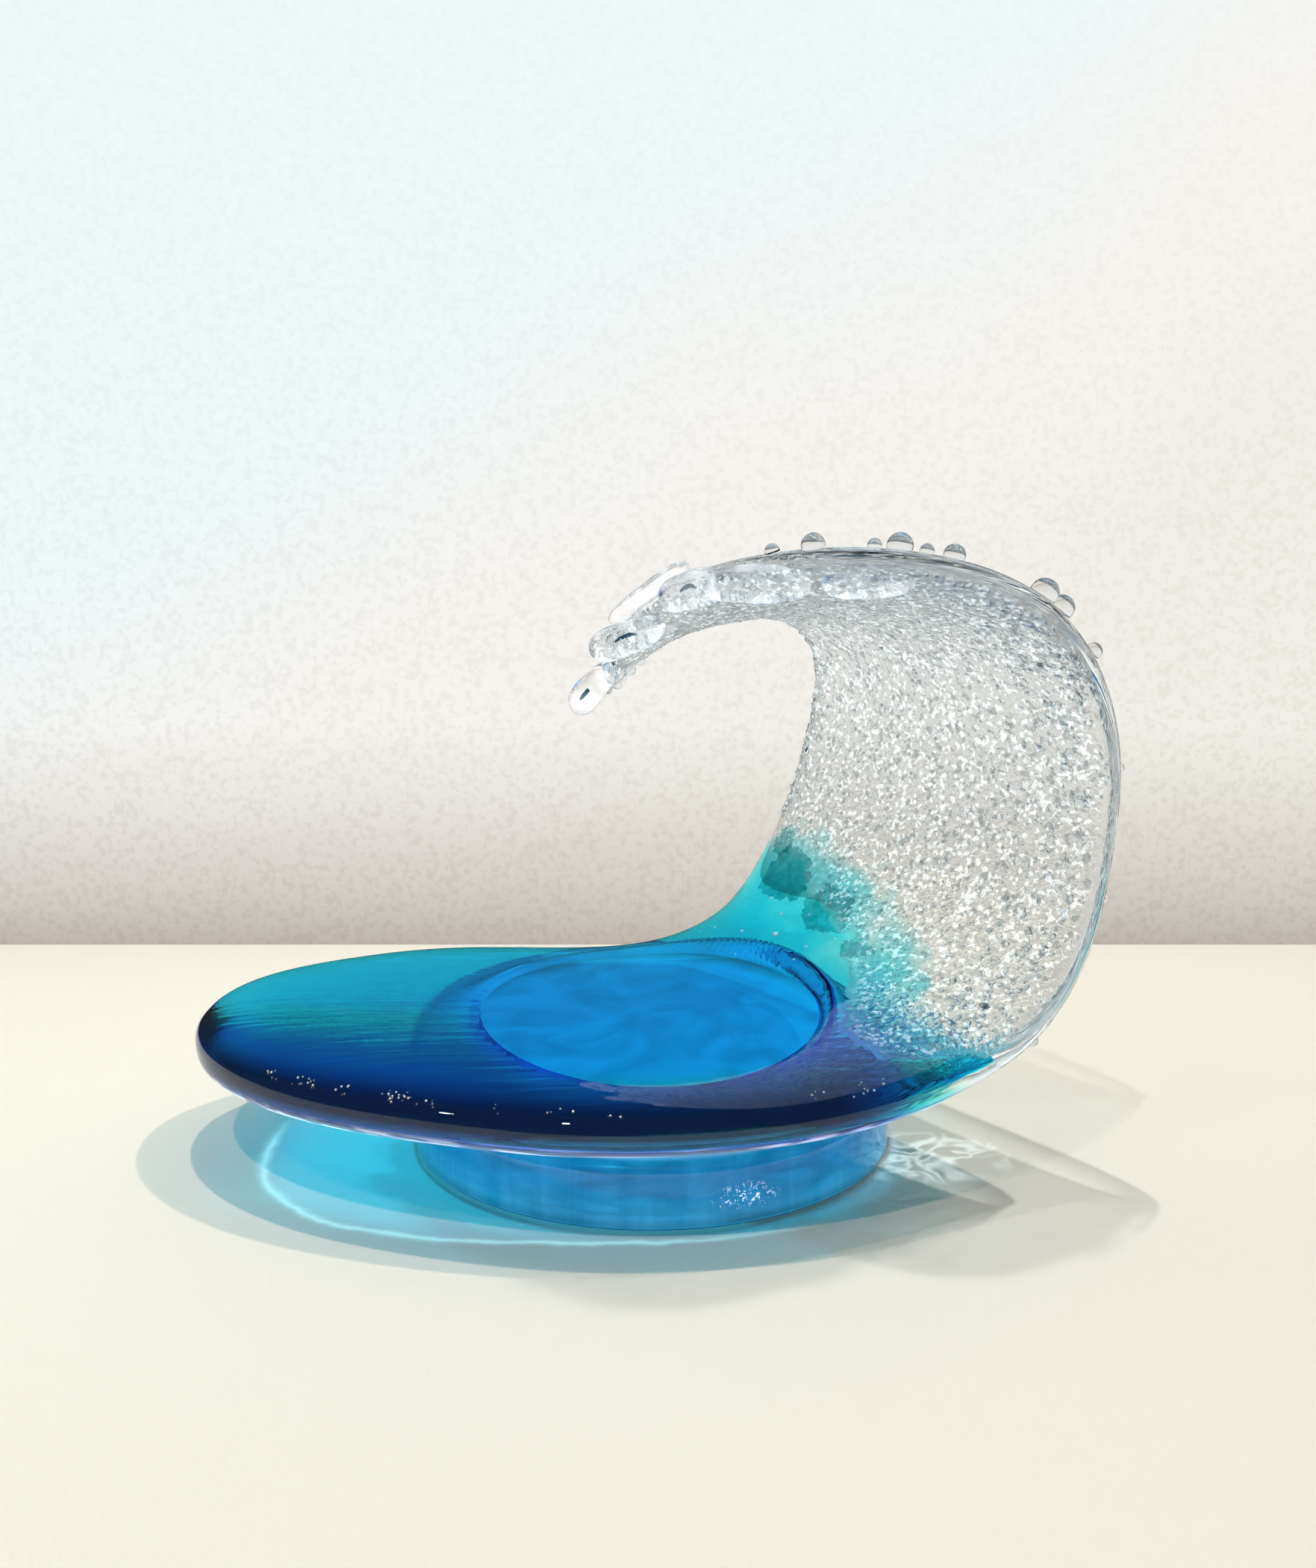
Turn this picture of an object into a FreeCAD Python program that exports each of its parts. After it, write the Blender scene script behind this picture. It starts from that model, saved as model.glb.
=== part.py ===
import FreeCAD, Part
import Sketcher
import math
import os

# Glass wave sculpture, in millimetres, +Z up.
# The origin is the centre of the foot's flat underside. The oval tongue of the wave points to -X,
# its right end bends up along a slanting fold into a wall, and the crest curls back over the tongue.
# All glass is fused or bonded, so nothing moves.

doc = FreeCAD.newDocument("glass_wave")

SIZES = (
    ("foot_radius", 76, "round foot, outer radius"),
    ("foot_height", 20.6, "round foot, height"),
    ("foot_top_round", 5, "round foot, rounding of the upper rim"),
    ("foot_base_round", 2, "round foot, rounding of the lower rim"),
    ("bond_radius", 55, "clear bond between foot and wave, radius"),
    ("bond_film", 0.4, "clear bond, thickness"),
    ("wave_reach", 140, "unit of the wave along X, about the tongue's reach from the origin"),
    ("wave_depth", 90, "unit of the wave along Y, about the near rim's distance from the origin"),
    ("wave_rise", 160, "unit of the wave along Z, from its ground seat to the crest"),
    ("slab_half", 13, "half the thickness of the slab at the tongue"),
    ("frit_depth", 2.6, "thickness of the layer of fused grains on the hollow side"),
    ("flake_radius", 10, "teal flake, radius of the largest"),
    ("flake_half", 0.9, "teal flake, half thickness"),
    ("lobe_radius", 5.6, "rounded lobes on the crest, radius"),
    ("finger_radius", 5.2, "finger at the crest's end, radius"),
    ("drip_radius", 5, "drip at the crest's end, radius"),
    ("fold_radius", 3.6, "folded lip behind the crest's end, radius"),
    ("thread_radius", 0.8, "coloured thread inside a lobe, radius"),
    ("bead_radius", 4, "spray beads, radius of the largest"),
    ("bead_clearance", 0.15, "spray beads, gap to the skin that carries them"),
)

sheet = doc.addObject("Spreadsheet::Sheet", "Sizes")
for row, (name, value, note) in enumerate(SIZES, start=1):
    sheet.set(f"A{row}", name)
    sheet.set(f"B{row}", str(value))
    sheet.setAlias(f"B{row}", name)
    sheet.set(f"C{row}", note)
doc.recompute()


def size(name):
    return float(sheet.get(name))


# Rims of the oval tongue, as two quarter ellipses that leave its tip.
# Angles in degrees from the tip, with the slab's upper and lower half thickness as shares.
tongue_tip_shares = (-1.032, 0.011, 0.081)
tongue_near_shares = {"length": 0.989, "width": 1.011, "fall": -0.009}
tongue_far_shares = {"length": 0.789, "width": 0.722, "fall": 0.028}
tongue_thickness_shares = (
    (9, 0.35, 0.34),
    (20, 0.65, 0.60),
    (34, 0.86, 0.80),
    (50, 0.96, 0.93),
    (70, 1.00, 1.03),
)

# Rims of the fold, the wall and the crest: near rim, far rim, then the upper and lower half
# thickness. The upper side is the hollow one, which faces the inside of the curl.
wall_shares = (
    ((0.100, -1.000, 0.072), (-0.057, 0.756, 0.109), 0.98, 1.08),
    ((0.371, -0.900, 0.081), (0.100, 0.767, 0.150), 0.96, 1.08),
    ((0.614, -0.722, 0.109), (0.214, 0.778, 0.225), 0.92, 0.96),
    ((0.800, -0.556, 0.181), (0.300, 0.778, 0.344), 0.85, 0.77),
    ((0.907, -0.456, 0.319), (0.364, 0.778, 0.475), 0.69, 0.69),
    ((0.950, -0.422, 0.494), (0.407, 0.767, 0.619), 0.62, 0.62),
    ((0.943, -0.456, 0.675), (0.429, 0.744, 0.756), 0.54, 0.54),
    ((0.864, -0.544, 0.831), (0.400, 0.700, 0.850), 0.46, 0.46),
    ((0.729, -0.667, 0.931), (0.329, 0.633, 0.900), 0.46, 0.46),
    ((0.571, -0.767, 0.978), (0.243, 0.544, 0.909), 0.38, 0.46),
    ((0.400, -0.733, 0.997), (0.136, 0.444, 0.894), 0.38, 0.46),
    ((0.221, -0.511, 0.994), (0.036, 0.356, 0.856), 0.31, 0.38),
    ((0.057, -0.244, 0.956), (-0.057, 0.267, 0.800), 0.31, 0.31),
    ((-0.086, 0.000, 0.856), (-0.107, 0.178, 0.744), 0.23, 0.23),
)
upper_roundness = 2.5
lower_roundness = 2.6
points_round_section = 24


def seat_level():
    return size("foot_height") + size("bond_film")


def place(shares):
    """Point of the wave from its shares of reach, depth and rise."""
    return FreeCAD.Vector(
        shares[0] * size("wave_reach"),
        shares[1] * size("wave_depth"),
        seat_level() + shares[2] * size("wave_rise"),
    )


def tongue_rim(angle, rim_shares, side):
    along = math.cos(math.radians(angle))
    outward = math.sin(math.radians(angle))
    tip_x, tip_y, tip_z = tongue_tip_shares
    return place((
        tip_x + rim_shares["length"] * (1 - along),
        tip_y + side * rim_shares["width"] * outward,
        tip_z + rim_shares["fall"] * outward,
    ))


def wave_stations():
    """Rows of near rim point, far rim point, upper and lower half thickness, tip first."""
    tip = place(tongue_tip_shares)
    rows = [(tip, tip, 0, 0)]
    half = size("slab_half")
    for angle, upper, lower in tongue_thickness_shares:
        near = tongue_rim(angle, tongue_near_shares, -1)
        far = tongue_rim(angle, tongue_far_shares, 1)
        rows.append((near, far, upper * half, lower * half))
    for near, far, upper, lower in wall_shares:
        rows.append((place(near), place(far), upper * half, lower * half))
    return rows


def station_marks(rows):
    """Distance along the wave to each station, the mean of both rims, as a share of the whole."""
    marks = [0]
    for last, here in zip(rows, rows[1:]):
        step = (last[0].distanceToPoint(here[0]) + last[1].distanceToPoint(here[1])) / 2
        marks.append(marks[-1] + step)
    return [mark / marks[-1] for mark in marks]


def smooth_curve(points, marks):
    curve = Part.BSplineCurve()
    curve.interpolate(Points=points, Parameters=marks)
    return curve


stations = wave_stations()
marks = station_marks(stations)
near_rim = smooth_curve([row[0] for row in stations], marks)
far_rim = smooth_curve([row[1] for row in stations], marks)
thickness_points = [FreeCAD.Vector(row[2], row[3], mark) for row, mark in zip(stations, marks)]
thickness = smooth_curve(thickness_points, marks)


class Frame:
    """The slab at one place along the wave: its middle, three directions and three half sizes."""

    def __init__(self, along):
        near = near_rim.value(along)
        far = far_rim.value(along)
        self.middle = (near + far) / 2
        self.half_width = near.distanceToPoint(far) / 2
        self.across = (far - near).normalize()
        heading = near_rim.getDN(along, 1) + far_rim.getDN(along, 1)
        self.lift = heading.cross(self.across).normalize()
        self.heading = self.across.cross(self.lift).normalize()
        self.upper = thickness.value(along).x
        self.lower = thickness.value(along).y

    def point(self, across_share, level):
        """Point by its share of the half width, near rim -1, and its level over the middle."""
        return self.middle + self.across * (across_share * self.half_width) + self.lift * level

    def skin(self, across_share, side):
        """Level of the slab's skin, side 1 for the hollow side and -1 for the outer side."""
        power = upper_roundness if side > 0 else lower_roundness
        half = self.upper if side > 0 else self.lower
        return side * half * (1 - abs(across_share) ** power) ** (1 / power)


def skin_seat(along, across, side):
    """Point on the slab's skin and the direction straight out of the glass there."""
    step_share = 0.01
    frame = Frame(along)
    ahead = Frame(along + step_share)
    here = frame.point(across, frame.skin(across, side))
    forward = ahead.point(across, ahead.skin(across, side)) - here
    inner = across - math.copysign(step_share, across)
    sideways = (frame.point(inner, frame.skin(inner, side)) - here) * -math.copysign(1, across)
    return here, forward.cross(sideways).normalize() * side


def signed_power(value, power):
    return math.copysign(abs(value) ** power, value)


def section_points(along):
    """Points round the slab, a flattened oval with squarer flanks than an ellipse."""
    frame = Frame(along)
    points = []
    for step in range(points_round_section):
        angle = 2 * math.pi * step / points_round_section
        side = 1 if math.sin(angle) >= 0 else -1
        power = 2 / (upper_roundness if side > 0 else lower_roundness)
        half = frame.upper if side > 0 else frame.lower
        across = signed_power(math.cos(angle), power)
        points.append(frame.point(across, half * signed_power(math.sin(angle), power)))
    return points


def section_marks():
    """Distances round the widest section, which all sections share, so that the skin stays even."""
    points = section_points(marks[len(tongue_thickness_shares)])
    distances = [0]
    for last, here in zip(points, points[1:] + points[:1]):
        distances.append(distances[-1] + last.distanceToPoint(here))
    return distances


def rounded_section(along):
    curve = Part.BSplineCurve()
    curve.interpolate(Points=section_points(along), PeriodicFlag=True, Parameters=section_marks())
    return curve


def skinned_slab():
    """Closed skin through the rounded sections, drawn to a point at the tip, and its flat end."""
    sections = [rounded_section(mark) for mark in marks[1:]]
    rows = [[stations[0][0]] * sections[0].NbPoles] + [section.getPoles() for section in sections]
    lines = [smooth_curve(list(track), marks) for track in zip(*rows)]
    skin = Part.BSplineSurface()
    skin.buildFromPolesMultsKnots(
        [line.getPoles() for line in lines],
        sections[0].getMultiplicities(),
        lines[0].getMultiplicities(),
        sections[0].getKnots(),
        lines[0].getKnots(),
        True,
        False,
        3,
        3,
    )
    end = Part.Face(Part.Wire(sections[-1].toShape()))
    return sewn_solid([skin.toShape(), end])


def sewn_solid(faces):
    shell = Part.makeShell(faces)
    shell.sewShape()
    solid = Part.makeSolid(shell)
    if solid.Volume < 0:
        solid.reverse()
    return solid


def feature(name, shape):
    """Holds a shape that the functions here worked out from the sheet."""
    item = doc.addObject("Part::Feature", name)
    item.Shape = shape
    return item


def boolean(kind, name, base, tool):
    item = doc.addObject(f"Part::{kind}", name)
    item.Base = base
    item.Tool = tool
    item.Label = name
    doc.recompute()
    return item


def layer_tool(name, rows):
    """Everything above a floor, along the wave.

    A row is a mark along the wave and corners of the floor, each a share across and a level.
    The block runs on past the slab's tip and end, so that it takes the end faces along.
    """
    ceiling_share = 2.0
    overrun_share = 2.0
    mark_overrun_share = 0.05
    overrun = overrun_share * size("slab_half")
    steps = []
    polygons = []
    for along, floor in rows:
        frame = Frame(along)
        ceiling = ceiling_share * max(frame.upper, size("slab_half") / 2)
        corners = [frame.point(across, level) for across, level in floor]
        corners.append(frame.point(floor[-1][0], ceiling))
        corners.append(frame.point(floor[0][0], ceiling))
        if along == marks[1]:
            steps.append(along - mark_overrun_share)
            polygons.append([corner - frame.heading * overrun for corner in corners])
        steps.append(along)
        polygons.append(corners)
        if along == marks[-1]:
            steps.append(along + mark_overrun_share)
            polygons.append([corner + frame.heading * overrun for corner in corners])
    tracks = [smooth_curve(list(track), steps).toShape() for track in zip(*polygons)]
    faces = [Part.makeRuledSurface(a, b) for a, b in zip(tracks, tracks[1:] + tracks[:1])]
    for polygon in (polygons[0], polygons[-1]):
        faces.append(Part.Face(Part.makePolygon(polygon + polygon[:1])))
    return feature(name, sewn_solid(faces))


# Floor of the blue glass: station, how far it runs across, and its level at the near and far end
# as shares of the half thickness, below the middle when negative and above it when positive.
# Past 1 the floor leaves the slab. It runs wider where the tongue's outline is most curved.
blue_floor_shares = (
    (1, 1.50, -1.30, -1.30),
    (2, 1.40, -1.30, -1.30),
    (3, 1.30, -1.25, -1.25),
    (4, 1.20, -0.85, -0.85),
    (5, 1.15, -0.62, -0.62),
    (6, 1.15, -0.50, -0.50),
    (7, 1.15, -0.30, -0.45),
    (8, 1.15, 0.20, -0.20),
    (9, 1.15, 1.20, 0.30),
    (10, 1.15, 1.50, 1.10),
)
edge_overrun_share = 1.15


def blue_tool():
    rows = []
    for station, across_share, near_share, far_share in blue_floor_shares:
        frame = Frame(marks[station])
        floor = []
        for across, share in ((-across_share, near_share), (across_share, far_share)):
            half = frame.upper if share > 0 else frame.lower
            floor.append((across, share * half))
        rows.append((marks[station], floor))
    return layer_tool("blue_tool", rows)


# Floor of the layer of grains at the casing's smooth near band, at its middle and at its far
# shoulder, as depths below the skin in shares of frit_depth, and at its far edge as a share of
# the half thickness. A depth below 0 lies outside the slab.
frit_floor_shares = (
    (7, -0.6, -1.2, -1.6, 0.90),
    (8, 0.5, -0.8, -1.5, 0.90),
    (9, 1.0, 0.8, -0.6, 0.70),
    (10, 1.0, 1.0, 0.9, 0.00),
    (11, 1.0, 1.0, 1.0, -0.25),
    (12, 1.0, 1.0, 1.0, -0.30),
    (13, 1.0, 1.0, 1.0, -0.30),
    (14, 1.0, 1.0, 1.0, -0.30),
    (15, 0.9, 0.9, 0.9, -0.30),
    (16, 0.8, 0.8, 0.8, -0.30),
    (17, 0.8, 0.8, 0.8, -0.30),
    (18, 0.6, 0.6, 0.6, -0.20),
    (19, 0.5, 0.5, 0.5, -0.20),
)
frit_across_shares = (-0.80, 0.0, 0.70)


def frit_tool():
    rows = []
    for station, *depth_shares, edge_share in frit_floor_shares:
        frame = Frame(marks[station])
        floor = []
        for across, share in zip(frit_across_shares, depth_shares):
            floor.append((across, frame.skin(across, 1) - share * size("frit_depth")))
        half = frame.upper if edge_share > 0 else frame.lower
        floor.append((edge_overrun_share, edge_share * half))
        rows.append((marks[station], floor))
    return layer_tool("frit_tool", rows)


def wave_blank():
    """The whole bent slab, ground flat at its seat, with the round boss that meets the bond."""
    ground_reach_share = 2.0
    boss_height_share = 2.4
    slab = skinned_slab()
    reach = ground_reach_share * size("wave_reach")
    below = Part.makeBox(reach + reach, reach + reach, seat_level(), FreeCAD.Vector(-reach, -reach, 0))
    ground = slab.cut(below)
    boss_height = boss_height_share * size("slab_half")
    boss = Part.makeCylinder(size("bond_radius"), boss_height, FreeCAD.Vector(0, 0, seat_level()))
    middle_rows = []
    for mark in marks[3:12]:
        middle_rows.append((mark, [(-edge_overrun_share, 0), (edge_overrun_share, 0)]))
    above = layer_tool("above_middle", middle_rows)
    return feature("wave_blank", ground.fuse(boss.cut(above.Shape)))


# Teal flakes under the grains: mark along the wave, share across, and size as a share.
flake_shares = (
    (0.530, 0.66, 1.0),
    (0.516, 0.14, 0.85),
    (0.588, 0.66, 0.55),
    (0.506, -0.30, 0.50),
)


def flake_tool():
    discs = []
    for index, (along, across, scale_share) in enumerate(flake_shares, start=1):
        disc = doc.addObject("Part::Ellipsoid", f"flake_{index}")
        disc.setExpression("Radius1", "Sizes.flake_half")
        disc.setExpression("Radius2", f"Sizes.flake_radius * {scale_share}")
        disc.setExpression("Radius3", f"Sizes.flake_radius * {scale_share}")
        centre, outward = skin_seat(along, across, 1)
        turn = FreeCAD.Rotation(FreeCAD.Vector(0, 0, 1), outward)
        disc.Placement = FreeCAD.Placement(centre, turn)
        discs.append(disc)
    group = doc.addObject("Part::MultiFuse", "flake_tool")
    group.Shapes = discs
    doc.recompute()
    return group


# Blobs on the crest: both ends as shares of reach, depth and rise, then the radius's name and its
# share. The drip's second end is its root at the flat end of the slab.
blob_shares = {
    "crest_lobe_right": ((0.336, -0.522, 0.956), (0.500, -0.667, 0.956), "lobe_radius", 0.80),
    "crest_lobe_middle": ((0.107, -0.344, 0.953), (0.314, -0.522, 0.959), "lobe_radius", 1.0),
    "crest_lobe_left": ((0.021, -0.211, 0.931), (0.143, -0.344, 0.959), "lobe_radius", 1.0),
    "crest_finger": ((-0.134, -0.050, 0.831), (0.029, -0.144, 0.884), "finger_radius", 1.0),
    "crest_drip": ((-0.180, 0.150, 0.709), None, "drip_radius", 1.0),
    "back_fold": ((-0.093, 0.000, 0.888), (0.079, -0.233, 0.994), "fold_radius", 1.0),
}
drip_root_shares = {"across": 0.0, "ahead": 0.35}

# Pairs of blobs that lie side by side. Each pair parts at a flat seam between its two axes.
seams = (
    ("crest_lobe_right", "crest_lobe_middle"),
    ("crest_lobe_middle", "crest_lobe_left"),
    ("crest_lobe_left", "crest_finger"),
    ("crest_finger", "crest_drip"),
    ("crest_lobe_left", "back_fold"),
    ("crest_finger", "back_fold"),
)


def blob_radius(row):
    return size(row[2]) * row[3]


def blob_axis(row):
    """Centres of the balls at both ends of a blob, each a radius in from its end."""
    first = place(row[0])
    if row[1] is None:
        frame = Frame(marks[-1])
        ahead = drip_root_shares["ahead"] * blob_radius(row)
        last = frame.point(drip_root_shares["across"], 0) + frame.heading * ahead
        return first + (last - first).normalize() * blob_radius(row), last
    last = place(row[1])
    inward = (last - first).normalize() * blob_radius(row)
    return first + inward, last - inward


def rounded_bar(name, ends, bound_radius):
    """A round bar with a ball at each end, its radius bound to the sheet."""
    first, last = ends
    turn = FreeCAD.Rotation(FreeCAD.Vector(0, 0, 1), last - first)
    bar = doc.addObject("Part::Cylinder", f"{name}_bar")
    bar.setExpression("Radius", bound_radius)
    bar.Height = first.distanceToPoint(last)
    bar.Placement = FreeCAD.Placement(first, turn)
    pieces = [bar]
    for end, centre in (("first", first), ("last", last)):
        ball = doc.addObject("Part::Sphere", f"{name}_{end}_ball")
        ball.setExpression("Radius", bound_radius)
        ball.Placement = FreeCAD.Placement(centre, turn)
        pieces.append(ball)
    group = doc.addObject("Part::MultiFuse", f"{name}_raw")
    group.Shapes = pieces
    return group


def seam_tool(name, other):
    """Block on the far side of the flat seam between a blob and its neighbour.

    The seam stands square to the shortest line between both axes, and parts that line as the
    two radii do, so that each blob keeps its whole axis.
    """
    own = Part.makeLine(*blob_axis(blob_shares[name]))
    next_to = Part.makeLine(*blob_axis(blob_shares[other]))
    start, end = own.distToShape(next_to)[1][0]
    radius = blob_radius(blob_shares[name])
    share = radius / (radius + blob_radius(blob_shares[other]))
    middle = start + (end - start) * share
    return square_block(f"{name}_seam_to_{other}", middle, end - start)


def square_block(name, middle, direction):
    """Block that starts at a point with its first face square to a direction."""
    turn = FreeCAD.Rotation(FreeCAD.Vector(0, 0, 1), direction)
    block = doc.addObject("Part::Box", name)
    for side in ("Length", "Width", "Height"):
        block.setExpression(side, "Sizes.wave_reach")
    corner = FreeCAD.Vector(-size("wave_reach") / 2, -size("wave_reach") / 2, 0)
    block.Placement = FreeCAD.Placement(middle + turn.multVec(corner), turn)
    return block


def crest_blob(name, blank, thread=None):
    """A blob cut back to the thread sealed in it, to its seams and to the slab that carries it.

    The drip ends at the plane of the slab's flat end.
    """
    tools = [thread] if thread else []
    for one, other in seams:
        if name == one:
            tools.append(seam_tool(name, other))
        if name == other:
            tools.append(seam_tool(name, one))
    row = blob_shares[name]
    if row[1] is None:
        frame = Frame(marks[-1])
        tools.append(square_block(f"{name}_root", frame.middle, -frame.heading))
    else:
        tools.append(blank)
    item = rounded_bar(name, blob_axis(row), f"Sizes.{row[2]} * {row[3]}")
    for index, tool in enumerate(tools, start=1):
        item = boolean("Cut", name if tool is tools[-1] else f"{name}_cut_{index}", item, tool)
    return item


# Coloured threads sealed in three of the blobs. Both ends are places in the blob: a share of its
# axis, and a share of its radius towards the open side. The last value is a share of the thread's radius.
thread_shares = {
    "crest_lobe_left": ((0.36, 0.61), (0.83, 0.26), 1.0),
    "crest_finger": ((0.26, 0.30), (0.77, 0.24), 0.8),
    "crest_drip": ((0.0, 0.30), (0.35, 0.15), 1.0),
}


def thread_axis(name):
    """Both ends of a thread's middle line, inside the blob of that name."""
    row = blob_shares[name]
    first, last = blob_axis(row)
    aside = (last - first).cross(FreeCAD.Vector(0, 0, 1)).normalize() * blob_radius(row)
    return [first + (last - first) * along + aside * side for along, side in thread_shares[name][:2]]


# Spray beads: mark along the wave, share across, side and radius as a share of bead_radius.
crest_bead_shares = (
    (0.895, -0.95, -1, 0.55),
    (0.874, -0.93, -1, 0.85),
    (0.846, -0.92, -1, 0.50),
    (0.835, -0.92, -1, 0.90),
    (0.823, -0.92, -1, 0.50),
    (0.812, -0.94, -1, 0.75),
)
back_bead_shares = (
    (0.768, -0.97, -1, 1.0),
    (0.757, -0.97, -1, 0.90),
    (0.732, -0.98, -1, 0.60),
    (0.675, -0.97, -1, 0.30),
    (0.608, -0.97, -1, 0.35),
    (0.526, -0.96, -1, 0.35),
)
rim_drop_shares = (
    (0.940, 0.96, 1, 0.40),
    (0.955, 0.97, 1, 0.50),
    (0.968, 0.96, 1, 0.40),
    (0.982, 0.90, 1, 0.40),
    (0.915, 0.97, 1, 0.30),
    (0.890, 0.97, 1, 0.30),
)


bead_sink_share = 0.25


def beads(name, rows):
    """Small round drops that sit on the skin by their flattened undersides."""
    balls = []
    for index, (along, across, side, scale_share) in enumerate(rows, start=1):
        ball = doc.addObject("Part::Sphere", f"{name}_{index}")
        ball.setExpression("Radius", f"Sizes.bead_radius * {scale_share}")
        ball.Angle1 = -math.degrees(math.asin(bead_sink_share))
        radius = size("bead_radius") * scale_share
        seat, outward = skin_seat(along, across, side)
        centre = seat + outward * (radius * bead_sink_share + size("bead_clearance"))
        turn = FreeCAD.Rotation(FreeCAD.Vector(0, 0, 1), outward)
        ball.Placement = FreeCAD.Placement(centre, turn)
        balls.append(ball)
    group = doc.addObject("Part::Compound", name)
    group.Links = balls
    return group


def foot_disc():
    """Round foot, turned about its axis, with a wide rounding above and a small one below."""
    body = doc.addObject("PartDesign::Body", "foot_disc")
    sketch = body.newObject("Sketcher::SketchObject", "foot_profile")
    plane = [item for item in body.Origin.OriginFeatures if item.Role == "XZ_Plane"][0]
    sketch.AttachmentSupport = [(plane, "")]
    sketch.MapMode = "FlatFace"
    radius = size("foot_radius")
    height = size("foot_height")
    corners = (
        FreeCAD.Vector(0, 0, 0),
        FreeCAD.Vector(radius, 0, 0),
        FreeCAD.Vector(radius, height, 0),
        FreeCAD.Vector(0, height, 0),
    )
    for start, end in zip(corners, corners[1:] + corners[:1]):
        sketch.addGeometry(Part.LineSegment(start, end), False)
    for line in range(4):
        sketch.addConstraint(Sketcher.Constraint("Coincident", line, 2, (line + 1) % 4, 1))
    sketch.addConstraint(Sketcher.Constraint("Coincident", 0, 1, -1, 1))
    sketch.addConstraint(Sketcher.Constraint("Horizontal", 0))
    sketch.addConstraint(Sketcher.Constraint("Vertical", 1))
    sketch.addConstraint(Sketcher.Constraint("Horizontal", 2))
    sketch.addConstraint(Sketcher.Constraint("Vertical", 3))
    across = sketch.addConstraint(Sketcher.Constraint("DistanceX", 0, 1, 0, 2, radius))
    upright = sketch.addConstraint(Sketcher.Constraint("DistanceY", 1, 1, 1, 2, height))
    sketch.setExpression(f"Constraints[{across}]", "Sizes.foot_radius")
    sketch.setExpression(f"Constraints[{upright}]", "Sizes.foot_height")
    turned = body.newObject("PartDesign::Revolution", "foot_turned")
    turned.Profile = sketch
    turned.ReferenceAxis = (sketch, ["V_Axis"])
    turned.Angle = 360
    doc.recompute()
    base = turned
    for name, size_name, level in (
        ("foot_upper_round", "foot_top_round", height),
        ("foot_lower_round", "foot_base_round", 0),
    ):
        rim = body.newObject("PartDesign::Fillet", name)
        rim.Base = (base, rim_edges(base.Shape, level))
        rim.setExpression("Radius", f"Sizes.{size_name}")
        doc.recompute()
        base = rim
    return body


def rim_edges(shape, level):
    """Names of the edges that lie flat at a level."""
    tolerance_share = 0.001
    names = []
    for index, edge in enumerate(shape.Edges, start=1):
        box = edge.BoundBox
        near = box.DiagonalLength * tolerance_share
        if abs(box.ZMin - level) < near and box.ZLength < near:
            names.append(f"Edge{index}")
    return names


def foot_bond():
    """Thin round film of clear adhesive between the foot and the ground seat of the wave."""
    film = doc.addObject("Part::Cylinder", "foot_bond")
    film.setExpression("Radius", "Sizes.bond_radius")
    film.setExpression("Height", "Sizes.bond_film")
    film.setExpression("Placement.Base.z", "Sizes.foot_height")
    return film


def build():
    nodes = [foot_disc(), foot_bond()]

    blank = wave_blank()
    flakes = flake_tool()
    nodes.append(boolean("Common", "teal_flakes", flakes, blank))
    shell = boolean("Cut", "wave_shell", blank, flakes)
    grains = frit_tool()
    nodes.append(boolean("Common", "frit_face", shell, grains))
    under = boolean("Cut", "wave_under", shell, grains)
    blue = blue_tool()
    nodes.append(boolean("Common", "blue_overlay", under, blue))
    nodes.append(boolean("Cut", "clear_casing", under, blue))

    threads = {}
    for name, row in thread_shares.items():
        bound_radius = f"Sizes.thread_radius * {row[2]}"
        threads[name] = rounded_bar(f"{name}_thread", thread_axis(name), bound_radius)
    group = doc.addObject("Part::MultiFuse", "coloured_threads")
    group.Shapes = list(threads.values())
    doc.recompute()
    nodes.append(group)
    for name in blob_shares:
        nodes.append(crest_blob(name, blank, threads.get(name)))

    nodes.append(beads("crest_beads", crest_bead_shares))
    nodes.append(beads("back_beads", back_bead_shares))
    nodes.append(beads("rim_drops", rim_drop_shares))
    return nodes


def check_and_write(nodes):
    doc.recompute()
    for item in doc.Objects:
        if "Invalid" in item.State or "Error" in item.State:
            raise RuntimeError(f"{item.Name} failed: {item.State}")
    for node in nodes:
        if node.Shape.isNull() or not node.Shape.isValid():
            raise RuntimeError(f"{node.Label} has no valid shape")
    os.makedirs("parts", exist_ok=True)
    for node in nodes:
        solids = node.Shape.Solids
        print(f"{node.Label}: {len(solids)} solids, {node.Shape.Volume:.1f} mm3")
        node.Shape.exportStep(f"parts/{node.Label}.step")


check_and_write(build())
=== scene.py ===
import math

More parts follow.
